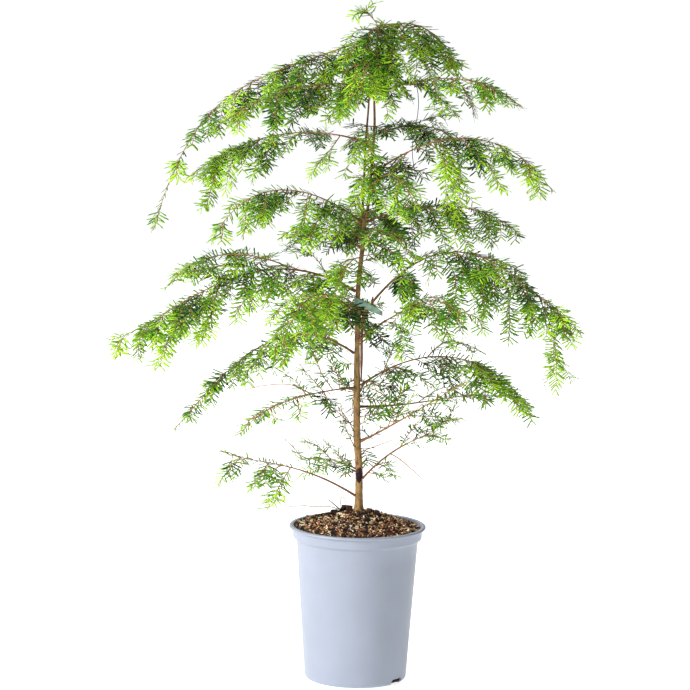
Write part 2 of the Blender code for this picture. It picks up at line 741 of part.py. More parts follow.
def fitted_blade(line, roll, rib, others, keep_bare):
    """A blade that leaves out each needle that would touch another piece, or None if its rib would."""
    sides = rolled_sides(line, roll)
    steps = len(line) - 1
    bare = [(False, False)] * steps
    vertices, faces = blade(line, sides, rib, bare)
    if touches(vertices, faces, others):
        return None
    teeth = list(bare)
    for i in range(keep_bare, steps - 1):
        for hand in (0, 1):
            trial = list(bare)
            trial[i] = (hand == 0, hand == 1)
            if not touches(*blade(line, sides, rib, trial), others):
                teeth[i] = (teeth[i][0] or hand == 0, teeth[i][1] or hand == 1)
    return blade(line, sides, rib, teeth)


def make_mass(limb, number, solids):
    """One mass of needles: its stem and side shoots, joined by one union, clear of all other pieces."""
    name = "needles_" + limb.name
    others = list(solids.values())
    line, start = stem_line(limb)
    roll = STEM_ROLL if number % 2 else -STEM_ROLL
    rib = (RIB_HALF_WIDTH, RIB_HALF_HEIGHT)
    stem = fitted_blade(line, roll, rib, others, 0 if limb.wood else 1)
    if stem is None:
        raise ValueError("the stem of %s touches another piece" % name)
    pieces = [stem]
    shoot_rib = (RIB_HALF_WIDTH * SHOOT_RIB_SHARE, RIB_HALF_HEIGHT * SHOOT_RIB_SHARE)
    for root, direction, size, droop, shoot_roll in side_shoots(limb, start, number):
        shoot = shoot_line(root, direction, size, droop)
        if not all(inside_space(limb, start, point) for point in shoot):
            continue
        fitted = fitted_blade(shoot, shoot_roll, shoot_rib, others, 0)
        if fitted:
            pieces.append(fitted)
    mass = joined(name, pieces)
    smooth(mass, 30)
    vertices = [v.co.copy() for v in mass.data.vertices]
    return vertices, [tuple(p.vertices) for p in mass.data.polygons]


def joined(name, pieces):
    """One object made of a stem and its shoots by a union on a collection, which is then removed."""
    body = add_object(name, *pieces[0], "needles")
    if len(pieces) == 1:
        return body
    group = bpy.data.collections.new(name + "_shoots")
    bpy.context.scene.collection.children.link(group)
    for k, (vertices, faces) in enumerate(pieces[1:]):
        shoot = add_object("%s_shoot_%d" % (name, k), vertices, faces)
        bpy.context.scene.collection.objects.unlink(shoot)
        group.objects.link(shoot)
    union = body.modifiers.new("shoots", "BOOLEAN")
    union.operation = "UNION"
    union.operand_type = "COLLECTION"
    union.solver = "MANIFOLD"
    union.collection = group
    bpy.context.view_layer.update()
    graph = bpy.context.evaluated_depsgraph_get()
    fused = bpy.data.meshes.new_from_object(body.evaluated_get(graph))
    body.modifiers.clear()
    body.data = fused
    body.data.materials.clear()
    body.data.materials.append(finish_named("needles"))
    for shoot in list(group.objects):
        bpy.data.objects.remove(shoot, do_unlink=True)
    bpy.data.collections.remove(group)
    keep_largest(body)
    return body


def keep_largest(obj):
    """Keeps only the largest body of a union, and drops any loose scrap."""
    work = bmesh.new()
    work.from_mesh(obj.data)
    left = set(work.faces)
    islands = []
    while left:
        seed = left.pop()
        island, front = {seed}, [seed]
        while front:
            face = front.pop()
            for edge in face.edges:
                for near in edge.link_faces:
                    if near in left:
                        left.discard(near)
                        island.add(near)
                        front.append(near)
        islands.append(island)
    islands.sort(key=len, reverse=True)
    for island in islands[1:]:
        bmesh.ops.delete(work, geom=list(island), context="FACES")
    loose = [v for v in work.verts if not v.link_faces]
    bmesh.ops.delete(work, geom=loose, context="VERTS")
    work.to_mesh(obj.data)
    work.free()


def tie_level(x):
    """The height of the sloping tape's middle line."""
    return TIE_HEIGHT - (x - TIE_MIDDLE) * TIE_SLOPE


def tie_circles():
    """Level circles, a little clear of the trunk and of the strong bough, that the tape is drawn round."""
    trunk_centre, trunk = parent_axis("trunk", TIE_HEIGHT)
    circles = [(Vector((trunk_centre.x, trunk_centre.y, 0)), trunk + TIE_CLEAR)]
    points, radii = bough_line(limb_named(TIED_BOUGH))
    for a, b, radius in zip(points, points[1:], radii):
        for k in range(8):
            p = a.lerp(b, k / 8)
            if abs(p.z - tie_level(p.x)) < TIE_WIDTH / 2 + radius:
                circles.append((Vector((p.x, p.y, 0)), radius + TIE_CLEAR))
    return circles


def make_tie():
    """A loop of tape round the trunk and the strong bough, with a free end that points to the right."""
    circles = tie_circles()
    inner, outer = [], []
    for k in range(TIE_SIDES):
        turn = 2 * math.pi * k / TIE_SIDES
        normal = Vector((math.cos(turn), math.sin(turn), 0))
        centre, radius = max(circles, key=lambda c: c[0].dot(normal) + c[1])
        inner.append(centre + normal * radius)
        outer.append(centre + normal * (radius + TIE_THICKNESS))
    vertices = []
    for outline in (inner, outer):
        for half in (-0.5, 0.5):
            vertices += [Vector((p.x, p.y, tie_level(p.x) + half * TIE_WIDTH)) for p in outline]
    n = TIE_SIDES
    faces = []
    for k in range(n):
        after = (k + 1) % n
        faces.append((k, after, n + after, n + k))
        faces.append((2 * n + k, 3 * n + k, 3 * n + after, 2 * n + after))
        faces.append((k, 2 * n + k, 2 * n + after, after))
        faces.append((n + k, n + after, 3 * n + after, 3 * n + k))
    tie = add_object("tie", vertices, faces, "tape")
    rightmost = max(circles, key=lambda c: c[0].x)
    union = tie.modifiers.new("free end", "BOOLEAN")
    union.operation = "UNION"
    union.solver = "EXACT"
    union.object = tie_end(*rightmost)
    smooth(tie, 50)


def tie_end(centre, radius):
    """The tape's free end, a short strip that leaves the front of the loop."""
    front = centre.y - radius - TIE_THICKNESS * 0.5
    half_thick = TIE_THICKNESS * 0.45
    vertices = []
    for past, width in ((-0.001, 0.96), (TIE_END * 0.5, 0.88), (TIE_END, 0.70)):
        x = centre.x + past
        y = front - 0.0016 * past / TIE_END
        half_wide = TIE_WIDTH * width / 2
        for side, up in ((-1, -1), (1, -1), (1, 1), (-1, 1)):
            vertices.append(Vector((x, y + side * half_thick, tie_level(x) + up * half_wide)))
    faces = [(3, 2, 1, 0), (8, 9, 10, 11)]
    for i in (0, 4):
        faces += [(i + k, i + (k + 1) % 4, i + (k + 1) % 4 + 4, i + k + 4) for k in range(4)]
    end = add_object("tie_end_shape", vertices, faces)
    end.hide_render = True
    end.display_type = "WIRE"
    return end


def thread_tube(top):
    points = []
    for k in range(THREAD_POINTS):
        t = k / (THREAD_POINTS - 1)
        sway = THREAD_SWAY * math.sin(2.2 * math.pi * t)
        points.append(top + Vector((sway, 0.4 * sway, -THREAD_LENGTH * t)))
    return upright_tube(points, [THREAD_RADIUS] * len(points), 5)


def make_thread(solids):
    """A thin dark thread with a slight sway. It hangs just clear of its shoot's underside."""
    top = limb_point(limb_named(THREAD_LIMB), THREAD_PLACE)
    vertices, faces = thread_tube(top)
    while touches(vertices, faces, solids.values()):
        top = top - UP * (CLEAR / 3)
        vertices, faces = thread_tube(top)
    add_object("hanging_thread", vertices, faces, "thread")


def stem_tree(limb):
    """The bare stem of a mass, which keeps other masses clear of it before it is built."""
    line, _ = stem_line(limb)
    bare = [(False, False)] * (len(line) - 1)
    rib = (RIB_HALF_WIDTH, RIB_HALF_HEIGHT)
    return BVHTree.FromPolygons(*blade(line, rolled_sides(line, 0), rib, bare))


def main():
    clear_scene()
    make_pot()
    make_soil()
    solids = {"trunk": BVHTree.FromPolygons(*make_trunk())}
    for name in LEADER_LINES:
        solids[name] = BVHTree.FromPolygons(*make_leader(name))
    make_wound()
    make_tie()
    for limb in LIMBS:
        if limb.wood:
            solids["bough_" + limb.name] = BVHTree.FromPolygons(*make_bough(limb))
    stems = {limb.name: stem_tree(limb) for limb in LIMBS}
    for number, limb in enumerate(LIMBS):
        near = dict(solids)
        near.update({name: tree for name, tree in stems.items() if name != limb.name})
        solids["needles_" + limb.name] = BVHTree.FromPolygons(*make_mass(limb, number, near))
    make_thread(solids)


main()
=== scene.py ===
"""The looks of the potted hemlock: bark, twigs, needles, bark mix, pot, tape and studio.

Metres, +Z up. +X is to the right of the photograph and -Y is towards the camera. Azimuths are degrees
from +X, turning towards +Y. Limbs follow the rule of the part's own source, carried to finer twigs.
"""

import json
import math
import random
from collections import namedtuple

import bmesh
import bpy
import numpy as np
from bpy.props import FloatProperty, FloatVectorProperty, IntProperty, PointerProperty
from mathutils import Matrix, Vector, noise

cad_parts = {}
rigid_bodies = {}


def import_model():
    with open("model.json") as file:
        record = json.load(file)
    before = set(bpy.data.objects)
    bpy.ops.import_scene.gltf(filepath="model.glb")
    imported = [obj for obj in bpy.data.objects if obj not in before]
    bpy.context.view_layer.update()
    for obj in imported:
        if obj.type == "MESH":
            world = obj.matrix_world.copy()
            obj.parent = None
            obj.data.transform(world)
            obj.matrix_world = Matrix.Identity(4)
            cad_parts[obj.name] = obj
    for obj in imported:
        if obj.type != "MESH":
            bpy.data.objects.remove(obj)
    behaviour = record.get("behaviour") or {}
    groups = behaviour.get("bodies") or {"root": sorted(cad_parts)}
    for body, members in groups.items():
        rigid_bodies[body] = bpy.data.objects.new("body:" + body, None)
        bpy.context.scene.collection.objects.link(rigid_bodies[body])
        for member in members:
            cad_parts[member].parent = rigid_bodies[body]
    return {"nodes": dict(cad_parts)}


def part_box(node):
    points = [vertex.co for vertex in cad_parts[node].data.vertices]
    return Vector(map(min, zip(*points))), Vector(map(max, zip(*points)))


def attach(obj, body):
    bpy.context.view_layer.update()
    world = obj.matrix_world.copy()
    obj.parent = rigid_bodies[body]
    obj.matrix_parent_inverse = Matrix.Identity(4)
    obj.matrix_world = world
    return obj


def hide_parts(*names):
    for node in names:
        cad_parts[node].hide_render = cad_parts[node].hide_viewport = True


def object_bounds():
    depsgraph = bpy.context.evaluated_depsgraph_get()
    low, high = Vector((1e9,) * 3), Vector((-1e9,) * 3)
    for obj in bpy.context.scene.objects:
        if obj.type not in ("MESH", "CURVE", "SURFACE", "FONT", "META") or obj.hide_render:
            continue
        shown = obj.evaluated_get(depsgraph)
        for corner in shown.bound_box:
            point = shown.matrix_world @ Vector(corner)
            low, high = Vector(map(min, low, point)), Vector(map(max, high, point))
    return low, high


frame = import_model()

bl_info = {
    "name": "Potted hemlock",
    "version": (1, 0, 0),
    "blender": (4, 5, 0),
    "location": "View3D > Sidebar > Hemlock",
    "description": "Dresses the solids of a potted weeping hemlock",
    "category": "Object",
}

CAD_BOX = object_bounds()
POT_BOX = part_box("pot")
THREAD_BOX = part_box("hanging_thread")
UP = Vector((0, 0, 1))
CLEAR = 0.0003
SEED = 20

# Pot
POT_HEIGHT = 0.194
LIP_RADIUS = POT_BOX[1][0]
LIP_DEPTH = 0.0036
COLLAR_RADIUS = 0.0806
COLLAR_DEPTH = 0.0130
BODY_RADIUS = 0.0756
FOOT_RADIUS = 0.0630
FOOT_ROUNDING = 0.0050
WALL = 0.0014
FLOOR = 0.0022
POT_SIDES = 144
NOTCH_AZIMUTHS = (-35, 145)
NOTCH_WIDTH = 0.021
NOTCH_HEIGHT = 0.0075

# Potting mix
SOIL_EDGE_HEIGHT = 0.1905
SOIL_EDGE_TILT = 0.0018
SOIL_HIGH_SIDE = 200
SOIL_TOP_HEIGHT = 0.2120
SOIL_RADIUS = COLLAR_RADIUS - WALL - CLEAR * 2.4

# Trunk and leaders
TRUNK_LINE = (
    (0.0010, 0.0, SOIL_TOP_HEIGHT + CLEAR),
    (0.0008, 0.0, 0.262),
    (-0.0024, 0.0, 0.305),
    (-0.0036, 0.0, 0.370),
    (-0.0041, 0.0, 0.420),
    (-0.0038, 0.0, 0.490),
    (0.0008, 0.0, 0.545),
    (0.0022, 0.0, 0.578),
)
TRUNK_RADII = (0.0049, 0.0046, 0.0045, 0.0043, 0.0033, 0.0029, 0.0027, 0.0033)
ROOT_FLARE = 0.0022
FLARE_HEIGHT = 0.006
LEADER_LINES = {
    "leader_left": (
        (0.0003, 0.0, 0.5784),
        (0.0000, 0.0004, 0.592),
        (0.0013, 0.0020, 0.634),
        (0.0026, 0.0040, 0.675),
        (0.0052, 0.0054, 0.715),
        (0.0063, 0.0070, 0.752),
        (0.0050, 0.0080, 0.780),
    ),
    "leader_right": (
        (0.0044, 0.0, 0.5784),
        (0.0065, -0.0004, 0.592),
        (0.0086, -0.0010, 0.622),
        (0.0128, -0.0020, 0.689),
        (0.0108, -0.0026, 0.751),
        (0.0141, -0.0020, 0.793),
        (0.0136, 0.0, 0.815),
    ),
}
LEADER_FOOT_RADIUS = {"leader_left": 0.0016, "leader_right": 0.0020}
LEADER_TIP_RADIUS = 0.0009
BOUGH_SIDES = 12
BOUGH_STEP = 0.0018
BOUGH_RELIEF = 0.00014

# Bark meshes: sides round the stem, height of a ring, and depth of the relief
TRUNK_BARK = (36, 0.0011, 0.00032)
LEADER_BARK = (16, 0.0016, 0.00012)

# Reliefs of the bark: scale round the stem, scale along it, and share of the depth
FURROW = (2.6, 120, 0.9)
FLAKE = (7, 420, 0.55)
BARK_RING = (900, 0.2)

STEMS = ("trunk", "leader_left", "leader_right")

# Limbs: an arch stands climb * s - sag * s^2 - hook * s^6 above its start at a share s of its reach
Limb = namedtuple("Limb", "name parent height azimuth reach climb sag hook wood spread droop")
LIMBS = (
    Limb("top", "leader_right", 0.8163, 176, 0.023, 0.030, 0.012, 0.000, 0.00, 0.018, 0.2),
    Limb("left_1", "leader_right", 0.801, 172, 0.276, -0.100, 0.000, 0.147, 0.00, 0.052, 0.7),
    Limb("left_2", "leader_left", 0.738, 212, 0.216, 0.045, 0.086, 0.000, 0.00, 0.060, 0.8),
    Limb("left_3", "leader_left", 0.671, 160, 0.238, 0.063, 0.115, 0.006, 0.14, 0.062, 0.7),
    Limb("left_4", "trunk", 0.570, 198, 0.195, 0.156, 0.133, 0.040, 0.22, 0.066, 0.7),
    Limb("left_5", "trunk", 0.538, 140, 0.130, 0.070, 0.055, 0.010, 0.00, 0.046, 0.6),
    Limb("left_6", "trunk", 0.485, 181, 0.306, 0.187, 0.310, -0.060, 0.34, 0.068, 0.8),
    Limb("left_7", "left_6", 0.000, 166, 0.160, 0.066, 0.082, 0.020, 0.00, 0.046, 0.4),
    Limb("left_8", "trunk", 0.454, 238, 0.170, 0.140, 0.125, 0.030, 0.26, 0.064, 0.9),
    Limb("left_9", "trunk", 0.407, 168, 0.232, 0.165, 0.295, -0.025, 0.20, 0.048, 0.7),
    Limb("left_10", "trunk", 0.367, 225, 0.198, 0.010, 0.026, 0.020, 0.18, 0.046, 0.5),
    Limb("left_11", "trunk", 0.228, 198, 0.178, 0.120, 0.072, -0.018, 0.42, 0.046, 0.9),
    Limb("left_12", "trunk", 0.262, 130, 0.118, 0.027, 0.031, 0.000, 0.00, 0.026, 0.3),
    Limb("right_1", "leader_right", 0.806, 45, 0.150, 0.060, 0.100, 0.020, 0.00, 0.056, 0.7),
    Limb("right_2", "leader_right", 0.729, 340, 0.190, 0.092, 0.086, 0.014, 0.00, 0.050, 0.6),
    Limb("right_3", "leader_right", 0.680, 55, 0.178, 0.036, 0.048, 0.000, 0.00, 0.050, 0.5),
    Limb("right_4", "leader_right", 0.630, 352, 0.224, 0.187, 0.174, 0.026, 0.18, 0.062, 0.8),
    Limb("right_5", "leader_right", 0.612, 300, 0.112, 0.105, 0.116, 0.000, 0.00, 0.040, 0.7),
    Limb("right_6", "trunk", 0.572, 20, 0.208, 0.080, 0.086, 0.014, 0.16, 0.054, 0.6),
    Limb("right_7", "trunk", 0.468, 353, 0.262, 0.350, 0.430, -0.055, 0.26, 0.066, 0.9),
    Limb("right_8", "trunk", 0.424, 312, 0.186, 0.128, 0.042, 0.034, 0.30, 0.056, 0.7),
    Limb("right_9", "trunk", 0.366, 8, 0.218, 0.166, 0.175, 0.020, 0.26, 0.052, 0.7),
    Limb("right_10", "trunk", 0.343, 38, 0.236, -0.023, -0.034, 0.021, 0.46, 0.030, 0.3),
    Limb("right_11", "trunk", 0.297, 318, 0.178, 0.090, -0.014, 0.004, 0.42, 0.030, 0.4),
    Limb("right_12", "trunk", 0.248, 335, 0.130, 0.152, 0.088, -0.047, 0.50, 0.026, 0.4),
    Limb("front_1", "leader_right", 0.766, 258, 0.096, 0.030, 0.062, 0.014, 0.00, 0.050, 0.7),
    Limb("front_2", "leader_left", 0.690, 272, 0.072, 0.020, 0.048, 0.000, 0.00, 0.036, 0.6),
    Limb("front_3", "trunk", 0.562, 310, 0.098, 0.030, 0.056, 0.000, 0.00, 0.040, 0.6),
    Limb("front_4", "trunk", 0.528, 246, 0.080, 0.022, 0.062, 0.000, 0.00, 0.036, 0.7),
    Limb("back_1", "leader_left", 0.774, 98, 0.138, 0.042, 0.082, 0.020, 0.00, 0.054, 0.7),
    Limb("back_2", "trunk", 0.566, 82, 0.180, 0.072, 0.100, 0.014, 0.16, 0.060, 0.7),
    Limb("back_3", "trunk", 0.455, 104, 0.196, 0.084, 0.122, 0.014, 0.22, 0.060, 0.8),
    Limb("back_4", "trunk", 0.352, 80, 0.160, 0.056, 0.070, 0.010, 0.28, 0.040, 0.5),
)
SPARSE_LIMBS = ("left_10", "left_11", "left_12", "right_10", "right_11", "right_12", "back_4")
GROUPS = {
    "upper_left": ("left_1", "left_2", "left_3", "left_4", "left_5"),
    "lower_left": ("left_6", "left_7", "left_8", "left_9", "left_10", "left_11", "left_12"),
    "upper_right": ("top", "right_1", "right_2", "right_3", "right_4", "right_5"),
    "lower_right": ("right_6", "right_7", "right_8", "right_9", "right_10", "right_11", "right_12"),
    "front": ("front_1", "front_2", "front_3", "front_4"),
    "back": ("back_1", "back_2", "back_3", "back_4"),
}
UPPER_SHOOT_ROOT = 0.28
BOUGH_ROOT_RADIUS = 0.0010
BOUGH_RADIUS_PER_REACH = 0.0028
BOUGH_TIP_RADIUS = 0.0009
TIED_BOUGH = "right_7"
TIED_FOOT_HEIGHT = 0.3750
TIED_SWELL = 0.030
TIED_START = 0.0137
TIED_LEAN_FROM = 0.440
TIED_BEND = 0.02
TIED_TIP_RADIUS = 0.0008
TIED_TOP_ROOM = 0.006
RIB_HALF_WIDTH = 0.0010
SHOOT_SPACING = 0.026
SHOOT_ANGLE = 58
SHOOT_START = 0.10

# Fine growth: radii are those at the root and at the tip
STEM_STEP = 0.006
STEM_TIP_RADIUS = 0.00040
SHOOT_STEP = 0.005
SHOOT_RADII = (0.00062, 0.00034)
SHOOT_LEAST = 0.014
BOUGH_SHOOT_SPACING = 0.014
SINGLE_STEP = 0.004
SINGLE_RADII = (0.00075, 0.00034)
SINGLE_DROOP = 0.6
TWIG_SPACING = 0.0150
TWIG_RADII = (0.00042, 0.00028)
TWIG_SHARE = 0.46
TWIG_LENGTHS = (0.010, 0.034)
TWIG_ANGLE = 50
THIN_TWIG = BOUGH_TIP_RADIUS * 0.84

# How sparse limbs differ: the share of their further shoots, of twigs and of needles
SPARSE_SHOOTS = 0.4
SPARSE_TWIGS = 0.55
SPARSE_NEEDLES = 0.75

# Brightness, from 0 for the darkest green to 1 for the brightest, given to each shoot and each needle
GREENS = 6
SHOOT_BRIGHT = 0.26
BRIGHT_OUTWARDS = 0.40
# Painted shade: the low sparse limbs under the crown, and the limbs on the right side away from the main
# light, get darker greens
SPARSE_PAINTED_SHADE = -0.12
RIGHT_PAINTED_SHADE = -0.07
CORE_BRIGHT = 0.38
TIP_BRIGHT = 0.28
NEEDLE_BRIGHT_SPREAD = 0.17

# Needle: shares of its length at which it is widest, how thick its ridge is, lowest and highest angle to
# the twig, spread of the lift, and lowest and highest share of the plain length and width
NEEDLE_FOOT = 0.14
NEEDLE_SHOULDER = 0.78
NEEDLE_RIDGE = 0.00032
NEEDLE_ANGLES = (50, 72)
NEEDLE_LIFT_SPREAD = 0.20
NEEDLE_SIZES = (0.78, 1.12)
NEEDLE_HALF_WIDTHS = (0.85, 1.1)
TWIG_SAMPLES = 40

# How far needles may stand out of the solids' box, and how far they stay above the mix
BOX_ROOM = 0.006
MIX_ROOM = 0.004

# Short shoots in the crown's middle: stem, lowest and highest root, how many, shortest and longest
CORE_SHOOTS = (
    ("leader_right", 0.780, 0.814, 16, 0.026, 0.046),
    ("leader_right", 0.735, 0.780, 6, 0.026, 0.046),
    ("leader_left", 0.738, 0.775, 5, 0.030, 0.050),
    ("leader_right", 0.610, 0.660, 4, 0.024, 0.040),
    ("leader_left", 0.610, 0.650, 3, 0.024, 0.040),
    ("trunk", 0.500, 0.570, 6, 0.028, 0.050),
    ("trunk", 0.425, 0.470, 3, 0.024, 0.040),
    ("trunk", 0.335, 0.420, 4, 0.016, 0.032),
    ("trunk", 0.245, 0.330, 4, 0.010, 0.022),
)

